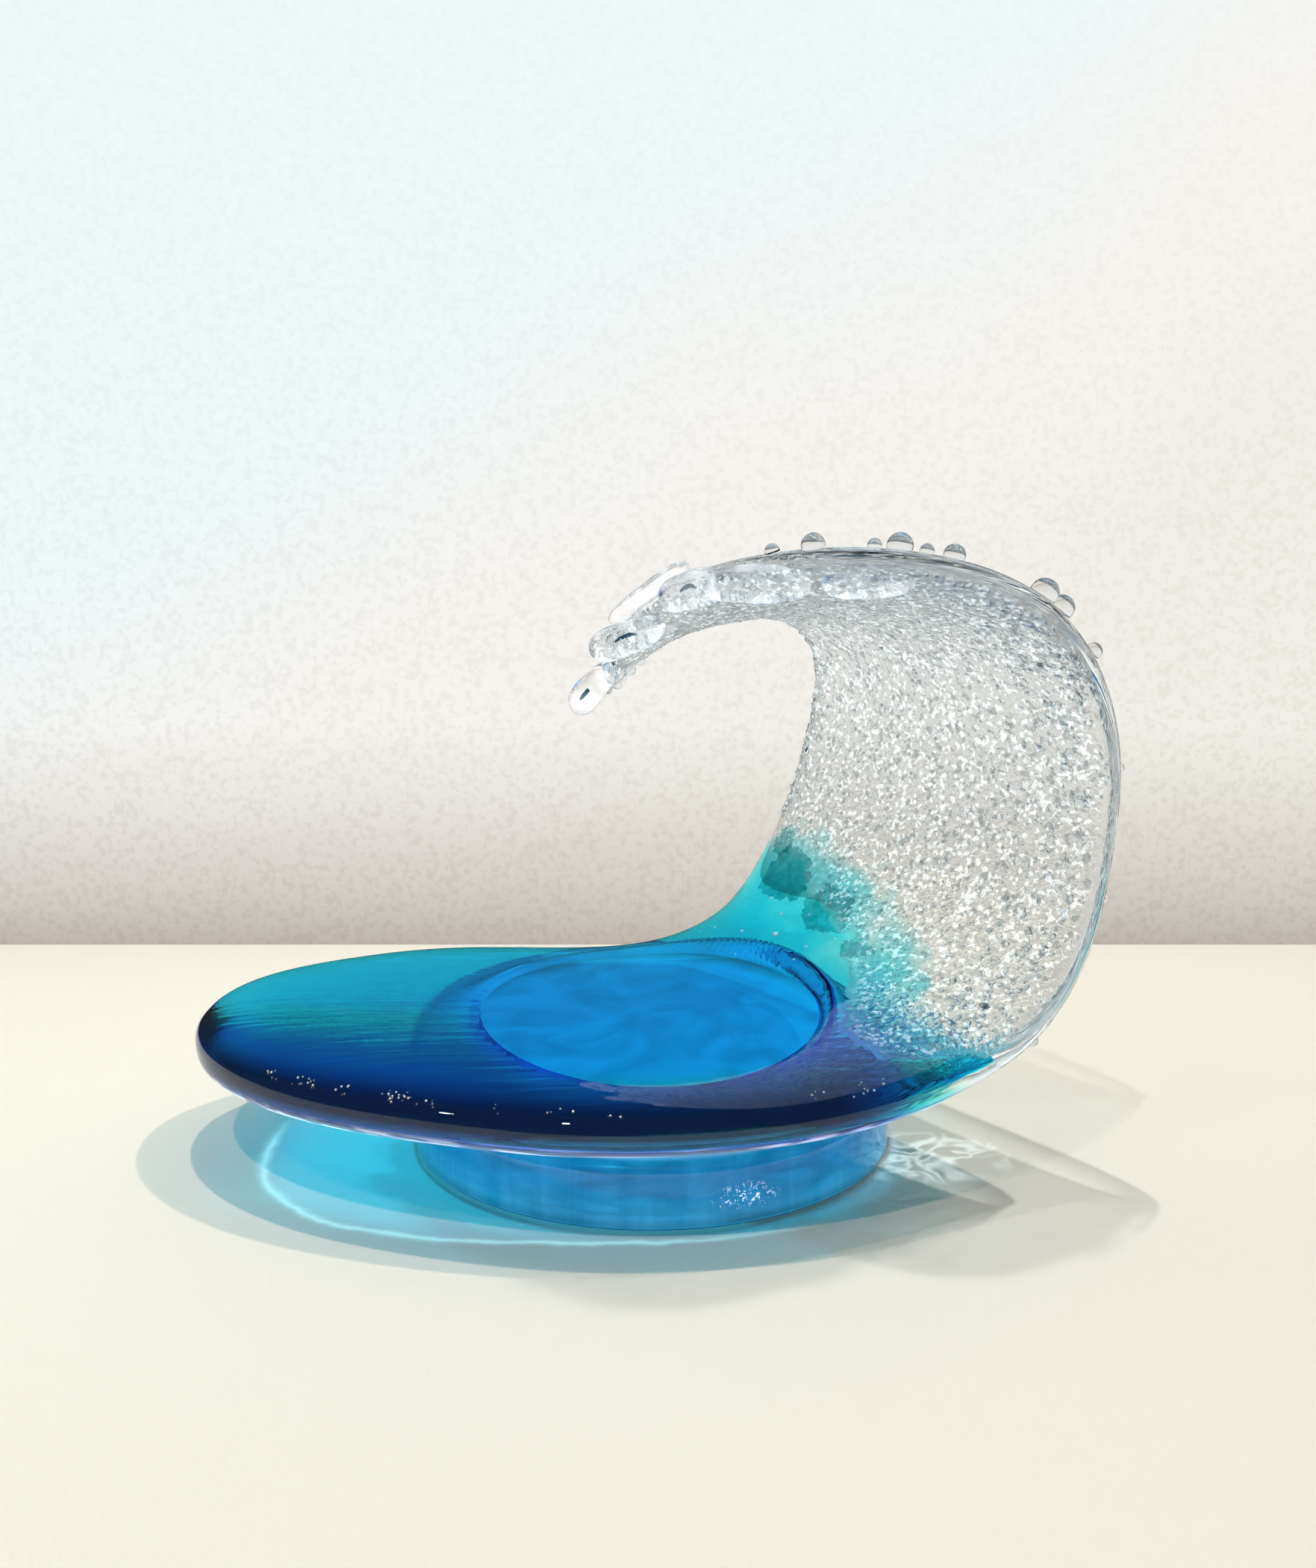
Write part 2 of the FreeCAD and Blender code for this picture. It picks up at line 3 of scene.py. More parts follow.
import bpy
import numpy as np
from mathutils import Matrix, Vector


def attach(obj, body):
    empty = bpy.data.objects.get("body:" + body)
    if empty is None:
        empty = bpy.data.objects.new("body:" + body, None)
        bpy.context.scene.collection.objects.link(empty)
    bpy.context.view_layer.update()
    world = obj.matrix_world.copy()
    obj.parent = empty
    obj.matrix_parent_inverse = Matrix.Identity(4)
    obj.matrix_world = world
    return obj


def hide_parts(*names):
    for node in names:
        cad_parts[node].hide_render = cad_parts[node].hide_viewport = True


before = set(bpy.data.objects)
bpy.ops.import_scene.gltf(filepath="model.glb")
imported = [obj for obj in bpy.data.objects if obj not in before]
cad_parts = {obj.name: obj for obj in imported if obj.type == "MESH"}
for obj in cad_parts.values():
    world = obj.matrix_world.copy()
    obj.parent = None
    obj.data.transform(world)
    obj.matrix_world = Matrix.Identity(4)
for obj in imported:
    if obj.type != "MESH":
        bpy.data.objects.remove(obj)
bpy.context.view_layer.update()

bl_info = {
    "name": "Glass wave sculpture",
    "version": (1, 0, 0),
    "blender": (4, 5, 0),
    "location": "View3D > Sidebar > Glass wave",
    "description": "Dresses the solids of a kiln-formed glass wave with its layers, grains, drops and studio",
    "category": "Object",
}

# Units of the wave, in metres: its reach, depth and rise, and the level it is ground flat at.
REACH, DEPTH, RISE, SEAT, HALF = 0.140, 0.090, 0.160, 0.0210, 0.0130
FOOT_RADIUS, FOOT_HEIGHT, BOND_RADIUS = 0.0760, 0.0206, 0.0550
# The skin ends just inside the solids' box, at the tongue's tip and on the near side.
TIP_REACH, NEAR_REACH = -0.14455, -0.09138

# Rims of the oval tongue: angle round two quarter ellipses, then upper and lower half thickness.
TONGUE_TIP = (-1.032, 0.011, 0.081)
TONGUE_NEAR = (0.989, 1.011, -0.009)
TONGUE_FAR = (0.789, 0.722, 0.028)
TONGUE_ROWS = (
    (0, 0.0, 0.0),
    (9, 0.35, 0.34),
    (20, 0.65, 0.60),
    (34, 0.86, 0.80),
    (50, 0.96, 0.93),
    (70, 1.00, 1.03),
)
# Rims of the fold, the wall and the crest: near rim, far rim, upper and lower half thickness.
WALL_ROWS = (
    (0.100, -1.000, 0.072, -0.057, 0.756, 0.109, 0.98, 1.08),
    (0.371, -0.900, 0.081, 0.100, 0.767, 0.150, 0.96, 1.08),
    (0.614, -0.722, 0.109, 0.214, 0.778, 0.225, 0.92, 0.96),
    (0.800, -0.556, 0.181, 0.300, 0.778, 0.344, 0.85, 0.77),
    (0.907, -0.456, 0.319, 0.364, 0.778, 0.475, 0.69, 0.69),
    (0.950, -0.422, 0.494, 0.407, 0.767, 0.619, 0.62, 0.62),
    (0.943, -0.456, 0.675, 0.429, 0.744, 0.756, 0.54, 0.54),
    (0.864, -0.544, 0.831, 0.400, 0.700, 0.850, 0.46, 0.46),
    (0.729, -0.667, 0.931, 0.329, 0.633, 0.900, 0.46, 0.46),
    (0.571, -0.767, 0.978, 0.243, 0.544, 0.909, 0.38, 0.46),
    (0.400, -0.733, 0.997, 0.136, 0.444, 0.894, 0.38, 0.46),
    (0.221, -0.511, 0.994, 0.036, 0.356, 0.856, 0.31, 0.38),
    (0.057, -0.244, 0.956, -0.057, 0.267, 0.800, 0.31, 0.31),
    (-0.086, 0.000, 0.856, -0.107, 0.178, 0.744, 0.23, 0.23),
)
UPPER_ROUND, LOWER_ROUND = 2.5, 2.6

# Floor of the blue glass at its near and far edge, in half thicknesses from the middle.
BLUE_FLOOR = (
    (0.000, -1.30, -1.30),
    (0.055, -1.30, -1.30),
    (0.098, -1.20, -1.25),
    (0.154, -0.85, -0.90),
    (0.233, -0.62, -0.70),
    (0.363, -0.50, -0.60),
    (0.424, -0.45, -1.00),
    (0.446, -0.42, -1.02),
    (0.481, 0.72, -1.05),
    (0.520, 1.50, -0.72),
    (0.560, 1.60, 0.30),
    (0.600, 1.60, 1.20),
)
# The smooth band along the near rim, as marks along the wave and places across it, and where the
# grains begin for places across the wave.
NEAR_BAND = (
    (0.45, 0.47, 0.50, 0.60, 0.75, 0.82, 1.0),
    (-0.80, -0.88, -0.945, -0.955, -0.955, -0.94, -0.92),
)
GRAIN_START = (
    (-1.0, -0.7, -0.4, -0.1, 0.2, 0.6, 1.0),
    (0.470, 0.455, 0.480, 0.505, 0.530, 0.552, 0.560),
)
# Seeds of what is strewn at random.
LOOSE_COUNT_SEED, LOOSE_SHAPE_SEED, BUBBLE_SEED = 41, 42, 7
# Lower indices stand for light that finds its way through many small surfaces, and the share of the
# mark 'shade' at which the painted steel shade is full and the painted dark rim begins.
MANY_SURFACES_IOR, LOOSE_GRAIN_IOR, STEEL_SHADE = 1.27, 1.18, 0.35


# ---------------------------------------------------------------- shape of the wave

def cubic_rows(marks, rows):
    """Second derivatives of the smooth cubic through rows at marks.

    Each piece between two marks is a cubic, slopes and bends agree at every mark, and the third
    derivative also agrees at the second and the last but one mark.
    """
    count = len(marks)
    step = np.diff(marks)
    slope = np.diff(rows, axis=0) / step[:, None]
    left = np.zeros((count, count))
    right = np.zeros_like(rows)
    inner = np.arange(1, count - 1)
    left[inner, inner - 1] = step[:-1]
    left[inner, inner] = 2 * (step[:-1] + step[1:])
    left[inner, inner + 1] = step[1:]
    right[inner] = 6 * (slope[1:] - slope[:-1])
    left[0, :3] = (step[1], -step[0] - step[1], step[0])
    left[-1, -3:] = (step[-1], -step[-2] - step[-1], step[-2])
    return np.linalg.solve(left, right)


def wave_rows():
    """Marks along the wave and its rims there. The marks are the mean chord length of both rims."""
    rows = []
    for degrees, upper, lower in TONGUE_ROWS:
        along, outward = math.cos(math.radians(degrees)), math.sin(math.radians(degrees))
        row = []
        for (length, width, fall), side in ((TONGUE_NEAR, -1), (TONGUE_FAR, 1)):
            row += [
                TONGUE_TIP[0] + length * (1 - along),
                TONGUE_TIP[1] + side * width * outward,
                TONGUE_TIP[2] + fall * outward,
            ]
        rows.append(row + [upper, lower])
    rows = np.array(rows + [list(row) for row in WALL_ROWS])
    rows[:, [0, 3]] *= REACH
    rows[:, [1, 4]] *= DEPTH
    rows[:, [2, 5]] = SEAT + rows[:, [2, 5]] * RISE
    rows[:, 6:] *= HALF
    chords = np.diff(rows, axis=0)
    lengths = (np.linalg.norm(chords[:, :3], axis=1) + np.linalg.norm(chords[:, 3:6], axis=1)) / 2
    marks = np.concatenate([[0], np.cumsum(lengths)])
    return marks / marks[-1], rows


MARKS, ROWS = wave_rows()
BENDS = cubic_rows(MARKS, ROWS)


def wave_at(along):
    """Middle, across, lift, half width, upper and lower half thickness at marks along the wave.

    The rims N and F are cubics of the mark. The middle is (N + F) / 2, across is F - N made a unit,
    and lift is the unit of (N' + F') x across, which points to the hollow side.
    """
    along = np.asarray(along, float)
    piece = np.clip(np.searchsorted(MARKS, along) - 1, 0, len(MARKS) - 2)
    step = (MARKS[piece + 1] - MARKS[piece])[..., None]
    a = (MARKS[piece + 1] - along)[..., None] / step
    b = 1 - a
    y0, y1, m0, m1 = ROWS[piece], ROWS[piece + 1], BENDS[piece], BENDS[piece + 1]
    value = a * y0 + b * y1 + ((a**3 - a) * m0 + (b**3 - b) * m1) * step**2 / 6
    rate = (y1 - y0) / step + ((3 * b**2 - 1) * m1 - (3 * a**2 - 1) * m0) * step / 6
    near, far = value[..., :3], value[..., 3:6]
    across = far - near
    width = np.linalg.norm(across, axis=-1, keepdims=True)
    across = across / np.maximum(width, 1e-9)
    lift = np.cross(rate[..., :3] + rate[..., 3:6], across)
    lift /= np.linalg.norm(lift, axis=-1, keepdims=True)
    return (near + far) / 2, across, lift, width[..., 0] / 2, value[..., 6], value[..., 7]


def wave_point(along, x, level):
    """Points at x half widths across and at a level in metres over the middle."""
    middle, across, lift, half, _, _ = wave_at(along)
    return middle + across * (half * x)[..., None] + lift * np.asarray(level)[..., None]


def wave_skin(along, x, side=1):
    """Level of the skin at x half widths: side * thickness * (1 - |x| ** m) ** (1 / m)."""
    upper, lower = wave_at(along)[4:]
    power, half = (UPPER_ROUND, upper) if side > 0 else (LOWER_ROUND, lower)
    return side * half * np.maximum(1 - np.abs(x) ** power, 0) ** (1 / power)


def unit(vectors):
    return vectors / np.maximum(np.linalg.norm(vectors, axis=-1, keepdims=True), 1e-12)


def seated(along, x, side=1, sink=0.0):
    """Points on the skin, sunk by a depth, and the unit directions out of the glass there: the cross
    product of two small steps on the skin, one along the wave and one across it."""
    along, x = np.asarray(along, float), np.asarray(x, float)
    nudge = 0.004
    inward = -np.sign(x + 1e-9)
    here, ahead, inner = (
        wave_point(a, b, wave_skin(a, b, side))
        for a, b in ((along, x), (along + nudge, x), (along, x + inward * nudge))
    )
    out = unit(np.cross(ahead - here, (inner - here) * inward[..., None]) * side)
    return here - out * sink, out


def smooth_step(low, high, value):
    """The share of the way from low to high, eased by 3 s ** 2 - 2 s ** 3."""
    share = np.clip((value - low) / (high - low), 0, 1)
    return share * share * (3 - 2 * share)


def lattice_random(cells, salt):
    """Even random numbers from 0 to 1 for whole-number cells, mixed from their three indices."""
    x, y, z = np.moveaxis(cells.astype(np.int64), -1, 0)
    mixed = (x * 73856093) ^ (y * 19349663) ^ (z * 83492791) ^ (salt * 2654435761)
    for shift, factor in ((13, 1274126177), (16, 668265263)):
        mixed = (mixed ^ (mixed >> shift)) * factor & 0x7FFFFFFF
    return ((mixed ^ (mixed >> 15)) & 0xFFFFFF) / float(0xFFFFFF)


def neighbours(*steps):
    """All triples of these steps, as offsets of a cube's neighbours or corners."""
    return [(i, j, k) for i in steps for j in steps for k in steps]


def pebbles(points, size, salt=0):
    """Height from 0 to 1 of rounded grains: one random seed in each cube of that size, and
    (1 - (distance to the nearest seed / size) ** 2) times a random height of the seed."""
    scaled = points / size
    best = np.full(len(points), np.inf)
    height = np.zeros(len(points))
    for offset in neighbours(-1, 0, 1):
        cell = np.floor(scaled) + offset
        seed = cell + np.stack([lattice_random(cell, salt + n) for n in (1, 2, 3)], -1)
        far = np.linalg.norm(seed - scaled, axis=-1)
        nearer = far < best
        best = np.where(nearer, far, best)
        height = np.where(nearer, 0.35 + 0.65 * lattice_random(cell, salt + 4), height)
    return height * np.maximum(1 - best**2, 0)


def rolling(points, size, salt=0):
    """Smooth noise from -1 to 1: random values at the corners of cubes of that size, blended by
    cubic steps along each of the three directions. Points may have any number of rows."""
    scaled = points.reshape(-1, 3) / size
    base = np.floor(scaled)
    part = smooth_step(0, 1, scaled - base)
    total = sum(
        np.prod(np.abs(1 - np.array(corner) - part), axis=1) * lattice_random(base + corner, salt)
        for corner in neighbours(0, 1)
    )
    return (2 * total - 1).reshape(points.shape[:-1])


# ---------------------------------------------------------------- meshes from grids

def turns(count):
    return np.linspace(0, 2 * np.pi, count, endpoint=False)


def grid_faces(rows, columns):
    """Corner indices of a rows by columns grid whose columns run round, as quads facing out."""
    row = np.arange(rows - 1)[:, None] * columns
    column = np.arange(columns)[None, :]
    after = (column + 1) % columns
    quads = np.stack([row + column, row + after, row + columns + after, row + columns + column], -1)
    return quads.reshape(-1, 4)


def capped_grid(points):
    """Points and faces of a closed surface from a grid of rings, with a middle point at each end."""
    rows, columns = points.shape[:2]
    places = np.vstack([points.reshape(-1, 3), points[0].mean(0), points[-1].mean(0)])
    column = np.arange(columns)
    after = (column + 1) % columns
    start, top = rows * columns, (rows - 1) * columns
    low = np.stack([np.full(columns, start), after, column], -1)
    high = np.stack([np.full(columns, start + 1), top + column, top + after], -1)
    return places, [grid_faces(rows, columns), np.vstack([low, high])]


def ball_rings(polar, columns):
    """Rings of a unit ball at polar angles p: (sin p cos t, sin p sin t, cos p) for turns t."""
    polar, turn = np.asarray(polar)[:, None], turns(columns)[None, :]
    return np.stack([np.sin(polar) * np.cos(turn), np.sin(polar) * np.sin(turn), np.cos(polar) + 0 * turn], -1)


def many_balls(points):
    """Points and faces of many small bodies of rings, each closed by one flat face at each end."""
    count, rows, columns = points.shape[:3]
    shift = (np.arange(count) * rows * columns)[:, None, None]
    column = np.arange(columns)
    ends = np.vstack([column[::-1], (rows - 1) * columns + column])
    faces = [(grid_faces(rows, columns) + shift).reshape(-1, 4), (ends + shift).reshape(-1, columns)]
    return points.reshape(-1, 3), faces


def turned(profile, count):
    """A profile of (radius, height) rows turned about the upright axis: (r cos t, r sin t, h)."""
    radius, height = np.array(profile).T[:, :, None]
    turn = turns(count)
    return np.stack([radius * np.cos(turn), radius * np.sin(turn), height + 0 * turn], -1)


def make_piece(name, places, faces, materials, slots=None, smooth=True, marks=None):
    """A mesh object at the origin. faces is a list of index arrays, and slots one array for each."""
    loops = np.concatenate([part.ravel() for part in faces])
    sizes = np.concatenate([np.full(len(part), part.shape[1]) for part in faces])
    mesh = bpy.data.meshes.new(name)
    mesh.vertices.add(len(places))
    mesh.vertices.foreach_set("co", places.astype(np.float32).ravel())
    mesh.loops.add(len(loops))
    mesh.loops.foreach_set("vertex_index", loops.astype(np.int32))
    mesh.polygons.add(len(sizes))
    mesh.polygons.foreach_set("loop_start", np.concatenate([[0], np.cumsum(sizes)[:-1]]).astype(np.int32))
    mesh.polygons.foreach_set("use_smooth", np.full(len(sizes), smooth))
    for material in materials:
        mesh.materials.append(material)
    if slots is not None:
        mesh.polygons.foreach_set("material_index", np.concatenate(slots).astype(np.int32))
    mesh.update(calc_edges=True)
    mesh.validate()
    for key, values in (marks or {}).items():
        layer = mesh.attributes.new(key, "FLOAT", "POINT")
        layer.data.foreach_set("value", values.astype(np.float32))
    if volume_of(places, faces) < 0:
        mesh.flip_normals()
    item = bpy.data.objects.new(name, mesh)
    bpy.context.scene.collection.objects.link(item)
    return item


def volume_of(places, faces):
    """Signed volume inside the faces: the sum of a . (b x c) / 6 over triangles fanned from a."""
    total = 0.0
    for part in faces:
        corners = places[part]
        for last in range(2, part.shape[1]):
            a, b, c = corners[:, 0], corners[:, last - 1], corners[:, last]
            total += np.einsum("ij,ij->i", a, np.cross(b, c)).sum() / 6
    return total


def joined(parts):
    """Joins several (places, faces) with the same kinds of faces into one."""
    places, quads, triangles, shift = [], [], [], 0
    for some, (four, three) in parts:
        places.append(some)
        quads.append(four + shift)
        triangles.append(three + shift)
        shift += len(some)
    return np.vstack(places), [np.vstack(quads), np.vstack(triangles)]

def put_in_place(piece, slot, *nodes):
    """Rides a piece on the root body and hides the solids that it stands for; the slot is not used."""
    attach(piece, "root")
    if nodes:
        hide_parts(*nodes)


def wave_grid(marks, angles):
    """Rings round the slab: x = c |c| ** (2/m - 1) and level = s |s| ** (2/m - 1) for the cosine c
    and sine s of each angle, in half widths and half thicknesses. Gives the points and x."""
    middle, across, lift, half, upper, lower = (part[:, None] for part in wave_at(marks))
    c, s = np.cos(angles)[None, :], np.sin(angles)[None, :]
    power = np.where(s >= 0, 2 / UPPER_ROUND, 2 / LOWER_ROUND)
    x = np.sign(c) * np.abs(c) ** power
    level = np.sign(s) * np.abs(s) ** power * np.where(s >= 0, upper, lower)
    return middle + across * (half * x)[..., None] + lift * level[..., None], x


def grid_normals(points):
    """Unit normals of a grid of closed rings, from the cross product of its two directions."""
    round_ = np.roll(points, -1, axis=1) - np.roll(points, 1, axis=1)
    normal = unit(np.cross(np.gradient(points, axis=0), round_))
    outward = np.einsum("ijk,ijk->ij", normal, points - points.mean(1, keepdims=True)).mean()
    return normal if outward >= 0 else -normal


# ---------------------------------------------------------------- shaders

BLACK, WHITE = (0, 0, 0, 1), (1, 1, 1, 1)


def node(tree, kind, inputs=None, **settings):
    made = tree.nodes.new(kind)
    for name, value in settings.items():
        setattr(made, name, value)
    for name, value in (inputs or {}).items():
        if isinstance(value, bpy.types.NodeSocket):
            tree.links.new(value, made.inputs[name])
        else:
            made.inputs[name].default_value = value
    return made

def maths(tree, operation, first, second=0.0):
    return node(tree, "ShaderNodeMath", {0: first, 1: second}, operation=operation).outputs[0]


def product(tree, first, *others):
    for other in others:
        first = maths(tree, "MULTIPLY", first, other)
    return first


def vector_maths(tree, operation, inputs, output=0):
    return node(tree, "ShaderNodeVectorMath", inputs, operation=operation).outputs[output]


def blend_colours(tree, factor, first, second, kind="MIX"):
    made = node(tree, "ShaderNodeMix", {0: factor, 6: first, 7: second}, data_type="RGBA", blend_type=kind)
    return made.outputs[2]


def span(tree, value, low, high, to_low=0.0, to_high=1.0):
    made = node(tree, "ShaderNodeMapRange", {0: value, 1: low, 2: high, 3: to_low, 4: to_high})
    return made.outputs[0]


def ramp(tree, value, low, high, first, second):
    """The colour that goes from first to second while the value goes from low to high."""
    return blend_colours(tree, span(tree, value, low, high), first, second)


def object_place(tree, stretch=None):
    """Object coordinates, or each of them times a factor of stretch."""
    place = node(tree, "ShaderNodeTexCoord").outputs["Object"]
    if stretch is None:
        return place
    return node(tree, "ShaderNodeMapping", {"Vector": place, "Scale": stretch}).outputs[0]


def axes(tree, vector=None):
    """The three parts of a vector, or else of the object coordinates."""
    return node(tree, "ShaderNodeSeparateXYZ", {0: object_place(tree) if vector is None else vector}).outputs


def noise(tree, scale, detail, vector=None, **more):
    """Noise from 0 to 1 on object coordinates or on another vector, with the node's other inputs."""
    place = object_place(tree) if vector is None else vector
    return node(tree, "ShaderNodeTexNoise", {"Vector": place, "Scale": scale, "Detail": detail, **more}).outputs["Fac"]


def stirred(tree, amount, **look):
    """Object coordinates moved by an amount of coloured noise."""
    place = object_place(tree)
    stir = node(tree, "ShaderNodeTexNoise", {"Vector": place, **look}).outputs["Color"]
    return vector_maths(tree, "ADD", {0: place, 1: vector_maths(tree, "SCALE", {0: stir, "Scale": amount})})


def point_mark(tree, name):
    """The value of a mark that build_wave_body writes on its points."""
    return node(tree, "ShaderNodeAttribute", attribute_name=name).outputs["Fac"]


def group_outputs(tree, name, **values):
    """Outputs of a shader node group with these inputs. GROUPS has the function that fills it."""
    made = node(tree, "ShaderNodeGroup", node_tree=bpy.data.node_groups.get(name) or build_group(name))
    for label, value in values.items():
        made.inputs[label].default_value = value
    return made.outputs


def build_group(name):
    """A shader node group whose inputs and outputs are all plain values."""
    inputs, outputs, fill = GROUPS[name]
    tree = bpy.data.node_groups.new(name, "ShaderNodeTree")
    for label, value in inputs.items():
        tree.interface.new_socket(label, in_out="INPUT", socket_type="NodeSocketFloat").default_value = value
    for label in outputs:
        tree.interface.new_socket(label, in_out="OUTPUT", socket_type="NodeSocketFloat")
    results = fill(tree, node(tree, "NodeGroupInput").outputs)
    out = node(tree, "NodeGroupOutput")
    for label, socket in zip(outputs, results):
        tree.links.new(socket, out.inputs[label])
    return tree


def fill_fire_polish(tree, given):
    """Slow swells and faint cords of hot-worked glass, as a height in metres."""
    often = maths(tree, "DIVIDE", 1.0, given["Size"])
    swell = noise(tree, often, 1.0, Roughness=0.4)
    cords = noise(tree, product(tree, often, 3.0), 0.0, Distortion=1.2)
    total = maths(tree, "ADD", swell, product(tree, cords, 0.2))
    return [product(tree, total, given["Height"])]


def fill_grains(tree, given):
    """Crushed grains fused together: a height with a crease between grains, and a tone for each."""
    often = maths(tree, "DIVIDE", 1.0, given["Size"])
    moved = stirred(tree, 0.0011, Scale=product(tree, often, 0.8), Detail=1.0)

    def cells(scale, feature):
        return node(tree, "ShaderNodeTexVoronoi", {"Vector": moved, "Scale": scale}, feature=feature).outputs

    grains, fine = cells(often, "F1"), cells(product(tree, often, 2.1), "F1")
    tone = axes(tree, grains["Color"])[0]
    dome = product(tree, maths(tree, "SUBTRACT", 1.0, grains["Distance"]), maths(tree, "ADD", tone, 0.3))
    relief = maths(tree, "ADD", dome, product(tree, fine["Distance"], -0.35))
    crease = span(tree, cells(often, "DISTANCE_TO_EDGE")["Distance"], 0.0, 0.10, 1.0, 0.0)
    return [product(tree, relief, given["Height"]), tone, crease]


def fill_seeds(tree, given):
    """Sparse seeds, the tiny bubbles that stay in kiln-cast glass, as a mask."""
    often = maths(tree, "DIVIDE", 1.0, given["Spacing"])
    cells = node(tree, "ShaderNodeTexVoronoi", {"Vector": object_place(tree), "Scale": often}, feature="F1")
    return [maths(tree, "LESS_THAN", cells.outputs["Distance"], given["Radius"])]


def fill_bond_window(tree, given):
    """A mask of the bond's round face, where both glasses are joined and neither has a surface."""
    height = axes(tree)[2]
    inside = maths(tree, "LESS_THAN", radius_out(tree), BOND_RADIUS)
    above = maths(tree, "GREATER_THAN", height, given["Lowest"])
    return [product(tree, inside, above, maths(tree, "LESS_THAN", height, given["Highest"]))]


def fill_light_lines(tree, given):
    """Masks of the light that the tongue and the foot gather on the table: a wavering line inside the
    tongue's shadow, |x/a| ** 2.6 + |y/b| ** 2.6 = 1 within a hair, and ripples beside the foot."""
    moved = stirred(tree, given["Waver"], Scale=55.0, Detail=3.0, Roughness=0.65)
    x, y = axes(tree, moved)[:2]

    def power_of(value, shift, size):
        share = maths(tree, "DIVIDE", maths(tree, "ADD", value, shift), size)
        return maths(tree, "POWER", maths(tree, "ABSOLUTE", share), 2.6)

    def squared_ring(across, deep, wide, long):
        return maths(tree, "ADD", power_of(x, across, wide), power_of(y, deep, long))

    def crest(value, middle, width, power):
        """One where the value is at its middle, and zero at a width from it."""
        off = maths(tree, "ABSOLUTE", maths(tree, "SUBTRACT", value, middle))
        return maths(tree, "POWER", span(tree, off, width, 0.0), power)

    ring = squared_ring(0.017, 0.002, 0.100, 0.076)
    line = product(tree, crest(ring, 1.0, 0.10, 2.5), span(tree, y, 0.010, -0.010), span(tree, x, 0.060, 0.0))
    waves = crest(noise(tree, 75.0, 1.0, moved, Distortion=1.0), 0.5, 0.15, 2.0)
    patch = span(tree, squared_ring(-0.087, 0.022, 0.027, 0.020), 1.0, 0.35)
    return [span(tree, ring, 1.0, 0.90), line, product(tree, waves, patch)]


GROUPS = {
    "fire_polish": ({"Size": 0.02, "Height": 0.0002}, ["Height"], fill_fire_polish),
    "fused_grains": ({"Size": 0.0016, "Height": 0.0005}, ["Height", "Tone", "Crease"], fill_grains),
    "glass_seeds": ({"Spacing": 0.004, "Radius": 0.08}, ["Mask"], fill_seeds),
    "bond_window": ({"Lowest": 0.0, "Highest": 1.0}, ["Mask"], fill_bond_window),
    "light_lines": ({"Waver": 0.006}, ["Inside", "Line", "Ripples"], fill_light_lines),
}


def radius_out(tree):
    """Distance from the upright axis."""
    return vector_maths(tree, "LENGTH", {0: object_place(tree, (1.0, 1.0, 0.0))}, "Value")


def bump(tree, *heights):
    """A normal from the sum of heights in metres."""
    total = heights[0]
    for height in heights[1:]:
        total = maths(tree, "ADD", total, height)
    return node(tree, "ShaderNodeBump", {"Height": total, "Strength": 1.0, "Distance": 1.0}).outputs["Normal"]


def polish(tree, size, height):
    return group_outputs(tree, "fire_polish", Size=size, Height=height)["Height"]


def seeded(tree, spacing, radius, clear, seed):
    """A clear tint with seeds of another colour."""
    return blend_colours(tree, group_outputs(tree, "glass_seeds", Spacing=spacing, Radius=radius)["Mask"], clear, seed)


def new_material(name):
    material = bpy.data.materials.new(name)
    material.use_nodes = True
    material.node_tree.nodes.clear()
    return material, material.node_tree


def glass(name, colour, normal=None, roughness=0.0, ior=1.5, clear=1.0, flash=None, flash_strength=0.35,
          lamp_tint=(0.90, 0.915, 0.92), absorb=None, opening=None):
    """Clear or tinted glass. The inputs are plain values or functions of the node tree that give a
    socket. flash is light of its own, which stands for glints. Rays from lamps pass with lamp_tint,
    less through steep sides and at the mark 'border', so that the shadow is lit through the glass.
    absorb is (colour, density) of what the body holds back. opening gives a mask where the glass
    has no surface of its own, as at a bond."""
    material, tree = new_material(name)
    values = {"Base Color": colour, "Roughness": roughness, "IOR": ior, "Transmission Weight": clear}
    if normal:
        values["Normal"] = normal
    if flash:
        values.update({"Emission Color": flash, "Emission Strength": flash_strength})
    values = {label: value(tree) if callable(value) else value for label, value in values.items()}
    surface = node(tree, "ShaderNodeBsdfPrincipled", values).outputs[0]
    path = node(tree, "ShaderNodeLightPath").outputs
    facing = node(tree, "ShaderNodeLayerWeight", {"Blend": 0.5}).outputs["Facing"]
    steep = product(tree, span(tree, facing, 0.45, 0.9), path["Is Shadow Ray"])
    dimmed = (*(0.15 * part for part in lamp_tint), 1.0)
    passed = blend_colours(tree, steep, (*lamp_tint, 1.0), dimmed)
    bent = product(tree, point_mark(tree, "border"), path["Is Shadow Ray"])
    passed = blend_colours(tree, bent, passed, (0.22, 0.55, 0.63, 1.0))
    through = node(tree, "ShaderNodeBsdfTransparent", {"Color": passed}).outputs[0]
    lets_by = maths(tree, "MAXIMUM", path["Is Shadow Ray"], path["Is Diffuse Ray"])
    surface = node(tree, "ShaderNodeMixShader", {0: lets_by, 1: surface, 2: through}).outputs[0]
    if opening:
        window = node(tree, "ShaderNodeBsdfTransparent", {"Color": WHITE}).outputs[0]
        surface = node(tree, "ShaderNodeMixShader", {0: opening(tree), 1: surface, 2: window}).outputs[0]
    out = node(tree, "ShaderNodeOutputMaterial", {"Surface": surface})
    if absorb:
        inside = node(tree, "ShaderNodeVolumeAbsorption", {"Color": (*absorb[0], 1.0), "Density": absorb[1]})
        tree.links.new(inside.outputs[0], out.inputs["Volume"])
    return material


